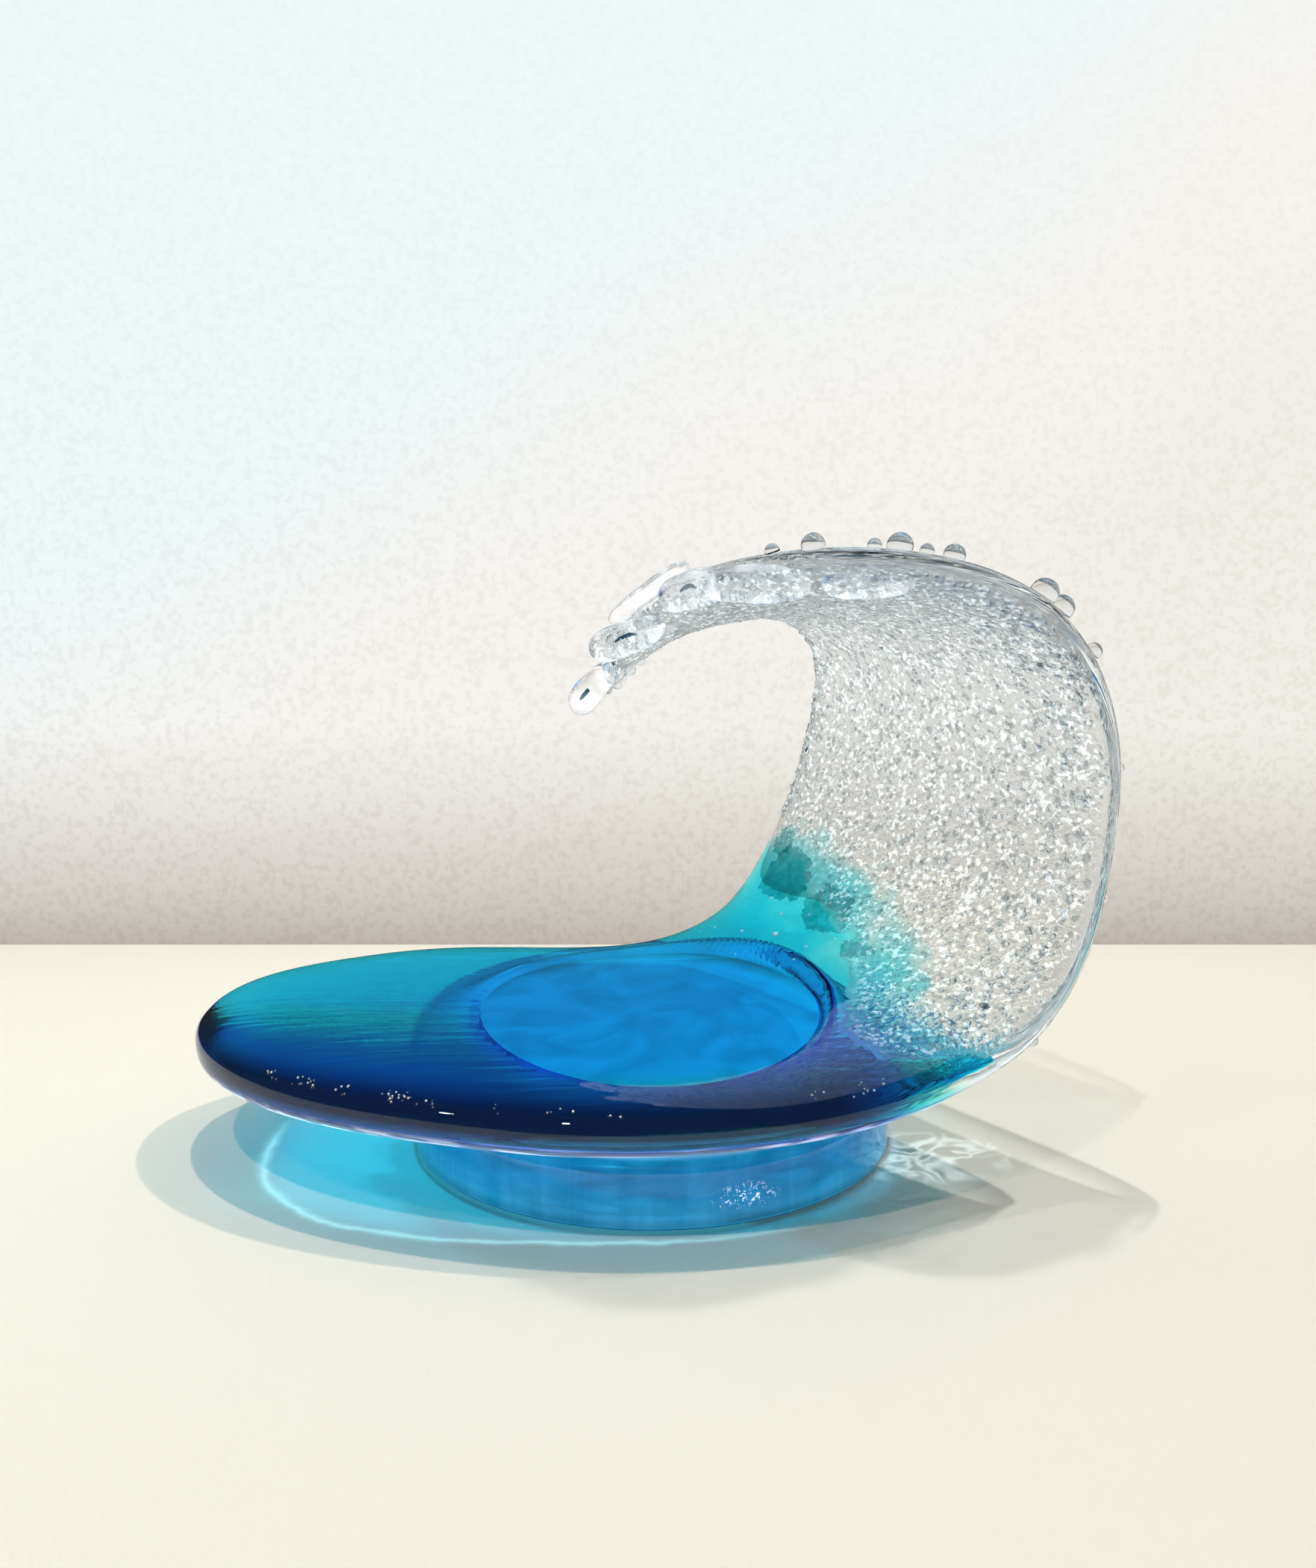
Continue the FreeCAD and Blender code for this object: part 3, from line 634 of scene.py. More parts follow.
def shared(slot, build):
    """The material that dresses a slot, built once. The solids' own materials have the slots' names."""
    name = slot + "_look"
    return bpy.data.materials.get(name) or build(name)


def casing_material(name, ior=1.5):
    """The clear casing: faint cords on the low skin, painted shade by the mark 'shade' (a steel tint and
    a dark rim), painted dark and glowing bright reflection streaks under the near rim, and a satin underside."""
    cord_height, underside_roughness = 0.00022, 0.22

    def polished(tree):
        cords = noise(tree, 330.0, 2.0, object_place(tree, (0.06, 1.0, 1.0)), Distortion=0.3)
        low = span(tree, axes(tree)[2], 0.034, 0.028)
        return bump(tree, polish(tree, 0.05, 0.0003), product(tree, cords, low, cord_height))

    def streaks(tree, low, high):
        cords = noise(tree, 520.0, 1.0, object_place(tree, (0.035, 0.5, 1.0)))
        return product(tree, span(tree, cords, low, high), point_mark(tree, "painted_reflection"))

    def tinted(tree):
        tone = seeded(tree, 0.006, 0.05, (0.97, 0.985, 0.99, 1), (0.75, 0.80, 0.84, 1))
        # painted shade by the mark 'shade': a steel tint, then a dark rim
        shade = point_mark(tree, "shade")
        tone = ramp(tree, shade, 0.0, STEEL_SHADE, tone, (0.72, 0.94, 0.40, 1))
        tone = ramp(tree, shade, STEEL_SHADE, 1.0, tone, (0.10, 0.03, 0.015, 1))
        # painted reflections: dark streaks in the band under the near rim
        return blend_colours(tree, streaks(tree, 0.52, 0.44), tone, (0.03, 0.05, 0.07, 1))

    def lit_streaks(tree):
        # painted highlight: the band under the near rim glows, brighter in streaks
        even = blend_colours(tree, point_mark(tree, "painted_reflection"), BLACK, (0.20, 0.26, 0.30, 1))
        return blend_colours(tree, streaks(tree, 0.47, 0.58), even, (0.86, 0.93, 1.0, 1))

    def satin(tree):
        return span(tree, axes(tree)[2], 0.0245, 0.0285, underside_roughness, 0.0)

    return glass(name, tinted, polished, satin, ior, flash=lit_streaks, flash_strength=0.8)


def wall_casing_material(name):
    """The casing of the wall and the crest, where the light leaves by many bumps: a lower index
    stands for the light that finds its way through them."""
    return casing_material(name, MANY_SURFACES_IOR)


def seat_material(name):
    """The casing's ground seat, with no surface of its own within the bond's circle."""
    def window(tree):
        return group_outputs(tree, "bond_window", Lowest=0.0, Highest=SEAT + 0.0005)["Mask"]

    return glass(name, (0.98, 0.99, 0.99, 1), lambda tree: bump(tree, polish(tree, 0.05, 0.0003)), opening=window)


def frit_material(name):
    """Fused clear grains: creased bumps, a grey or bright tone for each grain, painted shade in the creases
    and a painted glint that glows on some, fading by the mark 'grain'."""
    dark_share, bright_share = 0.13, 0.80

    def relief(tree):
        grains = group_outputs(tree, "fused_grains", Size=0.0019, Height=0.0013)
        return bump(tree, product(tree, grains["Height"], point_mark(tree, "grain")))

    def tones(tree):
        grains = group_outputs(tree, "fused_grains", Size=0.0016, Height=0.0007)
        tone = blend_colours(tree, grains["Tone"], (0.74, 0.80, 0.83, 1), (0.94, 0.985, 1.0, 1))
        dark = maths(tree, "LESS_THAN", grains["Tone"], dark_share)
        tone = blend_colours(tree, dark, tone, (0.36, 0.43, 0.47, 1))
        # painted shade in the creases between the grains
        tone = blend_colours(tree, product(tree, grains["Crease"], 0.5), tone, (0.55, 0.62, 0.66, 1))
        return blend_colours(tree, point_mark(tree, "grain"), (0.97, 0.985, 0.99, 1), tone)

    def worn(tree):
        return span(tree, point_mark(tree, "grain"), 0.0, 1.0, 0.0, 0.12)

    def glints(tree):
        # painted glints: the brightest grains glow
        grains = group_outputs(tree, "fused_grains", Size=0.0012, Height=0.0007)
        bright = product(tree, maths(tree, "GREATER_THAN", grains["Tone"], bright_share), point_mark(tree, "grain"))
        return blend_colours(tree, bright, BLACK, (0.90, 0.98, 1.0, 1))

    return glass(name, tones, relief, worn, MANY_SURFACES_IOR, 0.93, glints, lamp_tint=(0.42, 0.43, 0.435))


def blue_material(name):
    """The blue glass, which only holds back light: it is fused into the casing, so it has no
    reflecting surface of its own."""
    colours = bpy.context.scene.glass_wave_colours
    material, tree = new_material(name)
    held = {"Color": (*colours.blue_passed, 1.0), "Density": colours.blue_density}
    inside = node(tree, "ShaderNodeVolumeAbsorption", held).outputs[0]
    node(tree, "ShaderNodeOutputMaterial", {"Volume": inside})
    return material


def foot_material(name):
    """The cyan foot: upright shimmer and darker lines on its side, a cluster of painted glints that glow
    near the front, and windows at the bond and on the table."""
    colours = bpy.context.scene.glass_wave_colours
    glint_place, glint_flatness = (0.026, -0.0714, 0.0085), (1.0, 1.0, 2.4)

    def shimmer(tree):
        lines = noise(tree, 190.0, 2.0, object_place(tree, (1.0, 1.0, 0.12)), Distortion=0.6)
        return bump(tree, product(tree, lines, 0.00006), polish(tree, 0.03, 0.00012))

    def window(tree):
        bonded = group_outputs(tree, "bond_window", Lowest=FOOT_HEIGHT - 0.0003, Highest=1.0)["Mask"]
        return maths(tree, "MAXIMUM", bonded, maths(tree, "LESS_THAN", axes(tree)[2], 0.0001))

    def side(tree):
        lines = noise(tree, 120.0, 2.0, object_place(tree, (1.0, 1.0, 0.15)), Distortion=0.5)
        tone = ramp(tree, lines, 0.35, 0.75, (0.001, 0.13, 0.225, 1), (0.012, 0.23, 0.345, 1))
        return ramp(tree, radius_out(tree), FOOT_RADIUS - 0.006, FOOT_RADIUS - 0.002, (0.97, 0.99, 1.0, 1), tone)

    def glints(tree):
        # painted glints: white spots that glow in a small patch on the side
        off = vector_maths(tree, "SUBTRACT", {0: object_place(tree), 1: glint_place})
        far = vector_maths(tree, "LENGTH", {0: vector_maths(tree, "MULTIPLY", {0: off, 1: glint_flatness})}, "Value")
        spots = span(tree, noise(tree, 900.0, 2.0, Distortion=1.0), 0.57, 0.66)
        return blend_colours(tree, product(tree, spots, span(tree, far, 0.011, 0.002)), BLACK, WHITE)

    held = (tuple(colours.foot_passed), colours.foot_density)
    return glass(name, side, shimmer, flash=glints, flash_strength=1.0, lamp_tint=(0.95, 0.97, 0.98),
                 absorb=held, opening=window)


def lobe_material(name):
    def swirls(tree):
        return bump(tree, polish(tree, 0.009, 0.0007))

    def tinted(tree):
        return seeded(tree, 0.0022, 0.11, (0.97, 0.97, 0.975, 1), (0.80, 0.83, 0.86, 1))

    def light(tree):
        # painted light: the lobes glow in patches where the polish noise is high
        return ramp(tree, polish(tree, 0.007, 1.0), 0.50, 0.75, (0.04, 0.04, 0.045, 1), (0.55, 0.57, 0.60, 1))

    return glass(name, tinted, swirls, ior=MANY_SURFACES_IOR, flash=light)


def bead_material(name):
    return glass(name, (0.90, 0.91, 0.92, 1), lambda tree: bump(tree, polish(tree, 0.004, 0.0001)))


def teal_material(name):
    """Thin teal glass sealed in the clear: it only tints, with ragged strength."""
    def cloudy(tree):
        cloud = noise(tree, 260.0, 3.0, Roughness=0.6)
        return ramp(tree, cloud, 0.35, 0.65, (0.14, 0.48, 0.50, 1), (0.42, 0.74, 0.75, 1))

    return glass(name, cloudy, ior=1.0, lamp_tint=(0.4, 0.8, 0.85))


def thread_material(name):
    def streaked(tree):
        return ramp(tree, noise(tree, 700.0, 1.0), 0.4, 0.6, (0.004, 0.035, 0.09, 1), (0.01, 0.16, 0.26, 1))

    return glass(name, streaked, roughness=0.1, ior=1.0, clear=0.75)


def grain_chip_material(name):
    """Loose grains, which show a thin outline and little more, because they are fused in."""
    def tones(tree):
        return ramp(tree, noise(tree, 420.0, 1.0), 0.3, 0.7, (0.80, 0.85, 0.88, 1), WHITE)

    return glass(name, tones, roughness=0.03, ior=LOOSE_GRAIN_IOR)


def bubble_and_glint_material(name):
    """Air bubbles in the glass and painted glint dots, with a painted white glow of their own."""
    material, tree = new_material(name)
    colour = blend_colours(tree, noise(tree, 900.0, 1.0), (0.80, 0.90, 0.94, 1), WHITE)
    body = node(tree, "ShaderNodeBsdfPrincipled", {
        "Base Color": colour, "Roughness": 0.15, "Emission Color": colour, "Emission Strength": 0.25,
    })
    node(tree, "ShaderNodeOutputMaterial", {"Surface": body.outputs[0]})
    return material


def bond_material(name):
    def cloudy(tree):
        return blend_colours(tree, noise(tree, 90.0, 2.0), (0.97, 0.98, 0.99, 1), WHITE)

    return glass(name, cloudy, ior=1.0, lamp_tint=(1.0, 1.0, 1.0))


# ---------------------------------------------------------------- pieces

def between(value, rise_from, rise_to, fall_from, fall_to):
    """One between a rise and a fall, both eased, and zero elsewhere."""
    return smooth_step(rise_from, rise_to, value) * (1 - smooth_step(fall_from, fall_to, value))


def grain_cover(points, along, across, sine):
    """How far the fused grains cover each point: past their ragged start along the wave and past the
    smooth near band, on the hollow side and wrapped a little round the far rim."""
    ragged = 0.010 * rolling(points, 0.012, 5) + 0.006 * rolling(points, 0.004, 6)
    reached = smooth_step(-0.010, 0.012, along - np.interp(across, *GRAIN_START) - ragged)
    shore = smooth_step(-0.02, 0.03, across - np.interp(along, *NEAR_BAND) - ragged * 3)
    wrap = smooth_step(0.93, 0.99, across) * smooth_step(0.54, 0.58, along) * (sine > -0.35)
    return reached * shore * np.maximum(sine >= 0, wrap)


def painted_light_marks(points, along, across, sine):
    """Marks of the tongue for the shaders: 'shade' for painted shade, a steel tint over its near part outside
    the bright oval and a dark rim that stand for the dim surroundings the glass shows there; 'border' for
    the rim that dims its shadow; and a mark for the painted reflection streaks under the near rim."""
    # painted shade: a dark rim and a steel tint, for the dim surroundings that the glass shows there
    dark_rim = smooth_step(0.70, 0.97, -across) * between(along, 0.0, 0.10, 0.42, 0.50)
    painted_steel = smooth_step(0.05, 0.40, -across) * between(along, 0.05, 0.14, 0.34, 0.44)
    oval = (points[..., 0] / 0.052) ** 2 + ((points[..., 1] + 0.033) / 0.046) ** 2
    painted_steel = painted_steel * smooth_step(0.85, 1.25, oval)
    border = np.maximum(1 - smooth_step(0.115, 0.135, along), smooth_step(0.72, 0.80, np.abs(across)))
    # painted reflections: the streaked band under the near rim
    painted_reflection = smooth_step(0.86, 0.95, -across) * between(along, 0.05, 0.12, 0.42, 0.50)
    return {
        "shade": np.maximum(STEEL_SHADE * painted_steel, dark_rim) * np.clip(sine * 8 + 1, 0, 1),
        "border": border * (1 - smooth_step(0.44, 0.50, along)),
        "painted_reflection": painted_reflection * between(-sine, 0.10, 0.30, 0.75, 1.0),
    }


def build_wave_body():
    """The clear body of the wave as one closed skin of rings along it: wave_grid, with the seat
    pressed flat at its level inside the bond's circle, and fused grains raised along the normal of
    the hollow side by the cover times (pebbles - 0.35) of a grain's height."""
    shape = bpy.context.scene.glass_wave_shape
    marks = np.unique(np.concatenate([
        np.linspace(0.0024, 0.03, 14),
        np.linspace(0.03, 0.44, 96),
        np.linspace(0.44, 1.0, shape.rings_along_wall),
    ]))
    angles = np.concatenate([
        np.linspace(0, np.pi, shape.points_across_wall, endpoint=False),
        np.linspace(np.pi, 2 * np.pi, 84, endpoint=False),
    ])
    points, x = wave_grid(marks, angles)
    sine = np.sin(angles)[None, :]
    across = np.broadcast_to(x, points.shape[:2])
    along = np.broadcast_to(marks[:, None], points.shape[:2])
    light_marks = painted_light_marks(points, along, across, sine)
    cover = grain_cover(points, along, across, sine)
    from_axis = np.linalg.norm(points[..., :2], axis=-1)

    flat = points.reshape(-1, 3)
    stones = 0.65 * pebbles(flat, shape.grain_size * 1.5, 11) + 0.35 * pebbles(flat, shape.grain_size * 0.8, 23)
    calmer = 1 - 0.65 * smooth_step(0.78, 0.90, along)
    relief = (stones.reshape(along.shape) - 0.35) * shape.grain_height * cover * calmer
    points = points + grid_normals(points) * relief[..., None]

    seat = SEAT + 0.00004
    pressed = (sine < 0) * (along < 0.6) * (1 - smooth_step(BOND_RADIUS + 0.0012, BOND_RADIUS + 0.0036, from_axis))
    height = points[..., 2] * (1 - pressed) + np.minimum(points[..., 2], seat) * pressed
    points[..., 2] = np.maximum(height, seat)
    points[..., 0] = np.maximum(points[..., 0], TIP_REACH)
    points[..., 1] = np.maximum(points[..., 1], NEAR_REACH)
    places, faces = capped_grid(points)

    quads = faces[0]
    clear, frit, ground, wall = range(4)
    on_seat = (places[quads][:, :, 2].min(1) < SEAT + 0.0003) & (from_axis.ravel()[quads].min(1) < BOND_RADIUS)
    kinds = np.where(along.ravel()[quads].min(1) > 0.50, wall, clear)
    kinds = np.where(cover.ravel()[quads].max(1) > 0.01, frit, kinds)
    slots = [np.where(on_seat, ground, kinds), np.repeat([clear, wall], len(angles))]
    tip_and_end = {"border": [1, 0]}
    piece = make_piece(
        "wave_body", places, faces,
        [shared("casing_clear", casing_material), shared("frit_clear", frit_material),
         shared("casing_seat", seat_material), shared("casing_wall", wall_casing_material)],
        slots, marks={
            name: np.append(values.ravel(), tip_and_end.get(name, [0, 0]))
            for name, values in {"grain": cover, **light_marks}.items()
        },
    )
    put_in_place(piece, "casing_clear", "clear_casing", "frit_face")


def build_blue_layer():
    """The blue glass inside the skin: for each mark, a top sheet just under the skin and a bottom
    sheet at the larger of the layer's floor and the lower skin, meeting where the two cross."""
    marks = np.unique(np.concatenate([np.linspace(0.004, 0.03, 8), np.linspace(0.03, 0.592, 150)]))
    gap, thinnest, film = 0.00025, 0.00008, 0.00002
    fine = np.linspace(-1, 1, 801)
    share = (np.cos(np.linspace(np.pi, 0, 90)) + 1) / 2
    floor_marks, near_floors, far_floors = np.array(BLUE_FLOOR).T
    rings = []
    for along in marks:
        one = np.full(fine.shape, along)
        half, upper, lower = wave_at(along)[3:]
        edge = 1 - min(gap / half, 0.6)
        top = wave_skin(one, fine, 1) - gap - 0.0006 * smooth_step(0.44, 0.50, along)
        near, far = np.interp(along, floor_marks, near_floors), np.interp(along, floor_marks, far_floors)
        level = near + (far - near) * (fine + 1) / 2
        places = wave_point(one, fine * edge, np.zeros_like(fine))
        worn = 0.30 * rolling(places, 0.012, 31) + 0.22 * rolling(places, 0.005, 32)
        level = level + smooth_step(0.40, 0.50, along) * worn
        bottom = np.maximum(wave_skin(one, fine, -1) + gap, level * np.where(level > 0, upper, lower))
        inside = np.flatnonzero(top - bottom > thinnest)
        if len(inside) < 6:
            continue
        first, last = fine[inside[[0, -1]]]
        place = first + (last - first) * share
        roof = np.interp(place, fine, top)
        ground = np.minimum(np.interp(place, fine, bottom), roof - film)
        roof[[0, -1]] = (roof[[0, -1]] + ground[[0, -1]]) / 2
        levels = np.concatenate([roof, ground[-2:0:-1]])
        wide = np.concatenate([place, place[-2:0:-1]]) * edge
        rings.append(wave_point(np.full(len(wide), along), wide, levels))
    places, faces = capped_grid(np.array(rings))
    places[:, 0] = np.maximum(places[:, 0], TIP_REACH + 0.0002)
    places[:, 2] = np.maximum(places[:, 2], SEAT + 0.0004)
    piece = make_piece("blue_layer", places, faces, [shared("deep_blue_glass", blue_material)])
    put_in_place(piece, "deep_blue_glass", "blue_overlay")


def chips(centres, outs, sizes, seed):
    """Small crushed grains: balls of 4 rings by 6 points, their points pushed in or out at random,
    stretched along one side, turned and leaned at random, and set at each centre."""
    random = np.random.default_rng(seed)
    count = len(centres)
    ball = ball_rings(np.linspace(0.55, np.pi - 0.55, 4), 6)
    shapes = ball * random.uniform(0.68, 1.15, (count, 4, 6, 1))
    stretch = [random.uniform(low, high, count) for low, high in ((0.9, 1.7), (0.6, 1.0), (0.45, 0.8))]
    shapes = shapes * np.stack(stretch, -1)[:, None, None]
    angle = random.uniform(0, 2 * np.pi, count)[:, None]
    side = unit(np.cross(outs, (0.31, 0.77, 0.56)))
    first = side * np.cos(angle) + np.cross(outs, side) * np.sin(angle)
    lean = unit(outs + 0.35 * random.normal(size=(count, 3)))
    basis = np.stack([first, np.cross(outs, first), lean], 1)
    placed = np.einsum("nrca,nax->nrcx", shapes, basis)
    return many_balls(placed * sizes[:, None, None, None] + centres[:, None, None])


def build_grains():
    """Loose-edged grains that stand out of the fused layer, larger by the smooth band and the rims,
    and sparser near the crest."""
    shape = bpy.context.scene.glass_wave_shape
    random = np.random.default_rng(LOOSE_COUNT_SEED)
    count = shape.grain_count
    along = random.uniform(0.45, 0.999, count * 2)
    across = random.uniform(-0.9, 0.995, count * 2)
    kept_at_crest = random.uniform(0, 1, count * 2) > 0.85 * smooth_step(0.78, 0.90, along)
    past_start = along > np.interp(across, *GRAIN_START) + random.normal(0, 0.008, count * 2)
    keep = np.flatnonzero(past_start & (across > np.interp(along, *NEAR_BAND)) & kept_at_crest)[:count]
    along, across = along[keep], across[keep]
    places, outs = seated(along, across, 1)
    band = smooth_step(0.35, 0.85, -across) + 0.7 * smooth_step(0.85, 0.98, across)
    sizes = random.uniform(0.45, 0.85, len(along)) * shape.grain_size * (0.65 + 0.55 * band)
    points, faces = chips(places + outs * (sizes * 0.15)[:, None], outs, sizes, LOOSE_SHAPE_SEED)
    piece = make_piece("frit_grains", points, faces, [shared("grain_clear", grain_chip_material)], smooth=False)
    put_in_place(piece, "frit_clear")


# Along, across, radius, seed and thickness of each flake.
FLAKES = (
    (0.525, 0.66, 0.0135, 3, 0.0009),
    (0.517, 0.23, 0.0118, 8, 0.0009),
    (0.552, 0.84, 0.0060, 12, 0.0008),
    (0.500, -0.10, 0.0055, 21, 0.0008),
)
FLAKE_DEPTH = 0.0016


def flake(along, across, radius, seed, thickness):
    """A thin plate that follows the hollow skin: rings of radius r (1 + wobble(angle)), where wobble
    is a sum of sines with random phases, cut by a few straight broken sides."""
    random = np.random.default_rng(seed)
    turn = turns(72)
    wobble = sum(
        random.uniform(0.02, 0.10) * np.sin(waves * turn + random.uniform(0, 6.3))
        for waves in (2, 3, 5, 9, 14, 23, 33)
    )
    straight = np.min([1 / np.maximum(np.cos(turn - way), 0.05) for way in random.uniform(0, 6.3, 3)], axis=0)
    edge = np.minimum(1 + wobble, straight * random.uniform(0.75, 0.95)) * radius
    half, nudge = wave_at(along)[3], 0.005
    before, after = (wave_point(np.array(along + step), np.array(across), 0.0) for step in (-nudge, nudge))
    length = np.linalg.norm(after - before) / (2 * nudge)
    rows = []
    for share, level in ((0.45, 1), (0.8, 1), (0.96, 0.7), (1.0, 0.0), (0.96, -0.7), (0.8, -1), (0.45, -1)):
        marks = along + share * edge * np.sin(turn) / length
        spots = np.clip(across + share * edge * np.cos(turn) / half, -0.97, 0.97)
        base, out = seated(marks, spots, 1, FLAKE_DEPTH)
        rows.append(base + out * (level * thickness / 2))
    return capped_grid(np.array(rows))


def build_flakes():
    """Four teal flakes sealed just under the hollow skin, where the blue gives way to the grains."""
    points, faces = joined([flake(*row) for row in FLAKES])
    piece = make_piece("teal_flakes_sheet", points, faces, [shared("teal_glass", teal_material)])
    put_in_place(piece, "teal_glass", "teal_flakes")


def shares_to_place(shares):
    return np.array([shares[0] * REACH, shares[1] * DEPTH, SEAT + shares[2] * RISE])


def blob(first, last, radius, swell=(1.0, 1.0), flat=1.0, bow=(0, 0, 0), seed=0, rough=0.06):
    """A pulled blob of glass: rings along a bowed line between two places in shares of the wave, of
    radius R (1 - |2s - 1| ** 3.2) ** (1 / 2.2) times a swell that goes from one end's to the other's
    and times 1 plus rolling noise, flattened along one axis."""
    first, last = shares_to_place(first), shares_to_place(last)
    s = (1 - np.cos(np.linspace(0.12, np.pi - 0.12, 40)))[:, None] / 2
    heading = unit(last - first)
    side = unit(np.cross(heading, (0, 0, 1)))
    up = np.cross(side, heading)
    line = (first + (last - first) * s + np.array(bow) * (4 * s * (1 - s)))[:, None]
    profile = np.maximum(1 - np.abs(2 * s - 1) ** 3.2, 0) ** (1 / 2.2)
    width = radius * profile * (swell[0] + (swell[1] - swell[0]) * s)
    turn = turns(40)[:, None]
    ring = width[:, None] * (side * np.cos(turn) + up * np.sin(turn) * flat)
    wobble = rolling(line + ring, radius * 1.1, seed) + 0.4 * rolling(line + ring, radius * 0.45, seed + 1)
    return capped_grid(line + ring * (1 + rough * wobble)[..., None])


# First and last place in shares of the wave, radius, swell at both ends, and seed.
LOBES = {
    "crest_lobe_right": ((0.336, -0.522, 0.956), (0.500, -0.667, 0.956), 0.0046, (1.1, 0.8), 51),
    "crest_lobe_middle": ((0.107, -0.344, 0.953), (0.314, -0.522, 0.959), 0.0056, (0.95, 1.1), 53),
    "crest_lobe_left": ((0.021, -0.211, 0.931), (0.143, -0.344, 0.959), 0.0056, (1.0, 1.05), 55),
    "crest_finger": ((-0.134, -0.050, 0.831), (0.029, -0.144, 0.884), 0.0052, (1.1, 0.9), 57),
    "crest_drip": ((-0.180, 0.150, 0.709), (-0.088, 0.083, 0.806), 0.0050, (1.08, 0.80), 59),
    "back_fold": ((-0.093, 0.000, 0.888), (0.079, -0.233, 0.994), 0.0036, (0.9, 1.0), 61),
}
# First and last place in shares of the wave, radius, and bow in metres.
THREADS = (
    ((0.060, -0.300, 0.943), (0.096, -0.312, 0.949), 0.0008, (0.0004, -0.0002, 0.0012)),
    ((-0.080, -0.100, 0.850), (-0.030, -0.125, 0.866), 0.00064, (0, 0, 0.0006)),
    ((-0.164, 0.120, 0.733), (-0.143, 0.113, 0.754), 0.0008, (0.0005, 0, 0.0006)),
)


def build_lobes():
    """The rounded lobes, the finger and the drip of the crest, and the folded lip behind its end."""
    for name, (first, last, radius, swell, seed) in LOBES.items():
        points, faces = blob(first, last, radius, swell, seed=seed)
        piece = make_piece(name + "_glass", points, faces, [shared("lobe_clear", lobe_material)])
        put_in_place(piece, "lobe_clear", name)


def build_threads():
    """Short bowed streaks of dark teal sealed in the left lobe, the finger and the drip."""
    points, faces = joined([
        blob(first, last, radius, flat=0.7, bow=bow, seed=71 + number, rough=0.15)
        for number, (first, last, radius, bow) in enumerate(THREADS)
    ])
    piece = make_piece("coloured_streaks", points, faces, [shared("thread_glass", thread_material)])
    put_in_place(piece, "thread_glass", "coloured_threads")


# Along, across, side and size of each bead, as a share of the largest bead's radius.
BEAD_RADIUS = 0.004
BEADS = {
    "crest_beads": ((0.895, -0.95, -1, 0.55), (0.874, -0.93, -1, 0.85), (0.846, -0.92, -1, 0.50),
                    (0.835, -0.92, -1, 0.90), (0.823, -0.92, -1, 0.50), (0.812, -0.94, -1, 0.75)),
    "back_beads": ((0.768, -0.97, -1, 1.0), (0.757, -0.97, -1, 0.90), (0.732, -0.98, -1, 0.60),
                   (0.675, -0.97, -1, 0.30), (0.608, -0.97, -1, 0.35), (0.526, -0.96, -1, 0.35)),
    "rim_drops": ((0.940, 0.96, 1, 0.40), (0.955, 0.97, 1, 0.50), (0.968, 0.96, 1, 0.40),
                  (0.982, 0.90, 1, 0.40), (0.915, 0.97, 1, 0.30), (0.890, 0.97, 1, 0.30)),
}


def drop(seat, out, radius, seed):
    """A round drop on the skin: a ball of 20 rings whose centre is a quarter radius over the skin,
    a little uneven, cut flat where it would sink into the glass."""
    ball = ball_rings(np.linspace(0.06, np.pi - 0.06, 20), 28)
    ball[..., 2] = np.maximum(ball[..., 2], -0.25)
    side = unit(np.cross(out, (0.3, 0.5, 0.8)))
    ball = ball @ np.array([side, np.cross(out, side), out]) * radius
    uneven = 0.985 - 0.03 * np.abs(rolling(ball + seat, radius * 0.9, seed))
    return capped_grid(seat + out * radius * 0.25 + ball * uneven[..., None])


def build_beads():
    """Small round drops thrown on the crest and down the back edge, and hanging under the arch."""
    for name, rows in BEADS.items():
        parts = []
        for number, (along, across, side, share) in enumerate(rows):
            seat, out = seated(along, across, side)
            parts.append(drop(seat + out * 0.0001, out, BEAD_RADIUS * share, 81 + number))
        points, faces = joined(parts)
        piece = make_piece(name + "_glass", points, faces, [shared("bead_clear", bead_material)])
        put_in_place(piece, "bead_clear", name)


def build_foot():
    """The round foot: a profile with rounded upper and lower corners turned about the upright axis,
    its side swelling in and out by a few hundredths of a millimetre round the turn."""
    top, base, level, inmost = 0.005, 0.002, FOOT_HEIGHT - 0.00006, 0.0025
    arc = np.linspace(0, np.pi / 2, 12)
    profile = [(r, 0.0) for r in np.linspace(inmost, FOOT_RADIUS - base, 30)]
    profile += [(FOOT_RADIUS - base + base * math.sin(a), base - base * math.cos(a)) for a in arc[1:]]
    profile += [(FOOT_RADIUS, z) for z in np.linspace(base, level - top, 9)[1:-1]]
    profile += [(FOOT_RADIUS - top + top * math.cos(a), level - top + top * math.sin(a)) for a in arc]
    profile += [(r, level) for r in np.linspace(FOOT_RADIUS - top, inmost, 32)[1:]]
    points = turned(profile, 240)
    side = smooth_step(FOOT_RADIUS - 0.006, FOOT_RADIUS, np.array(profile)[:, :1])
    swell = -0.00006 * (1 + rolling(points * (1, 1, 0.2), 0.006, 91))
    points[..., :2] *= (1 + side * swell / FOOT_RADIUS)[..., None]
    points, faces = capped_grid(points)
    piece = make_piece("foot_glass_disc", points, faces, [shared("foot_glass", foot_material)])
    put_in_place(piece, "foot_glass", "foot_disc")


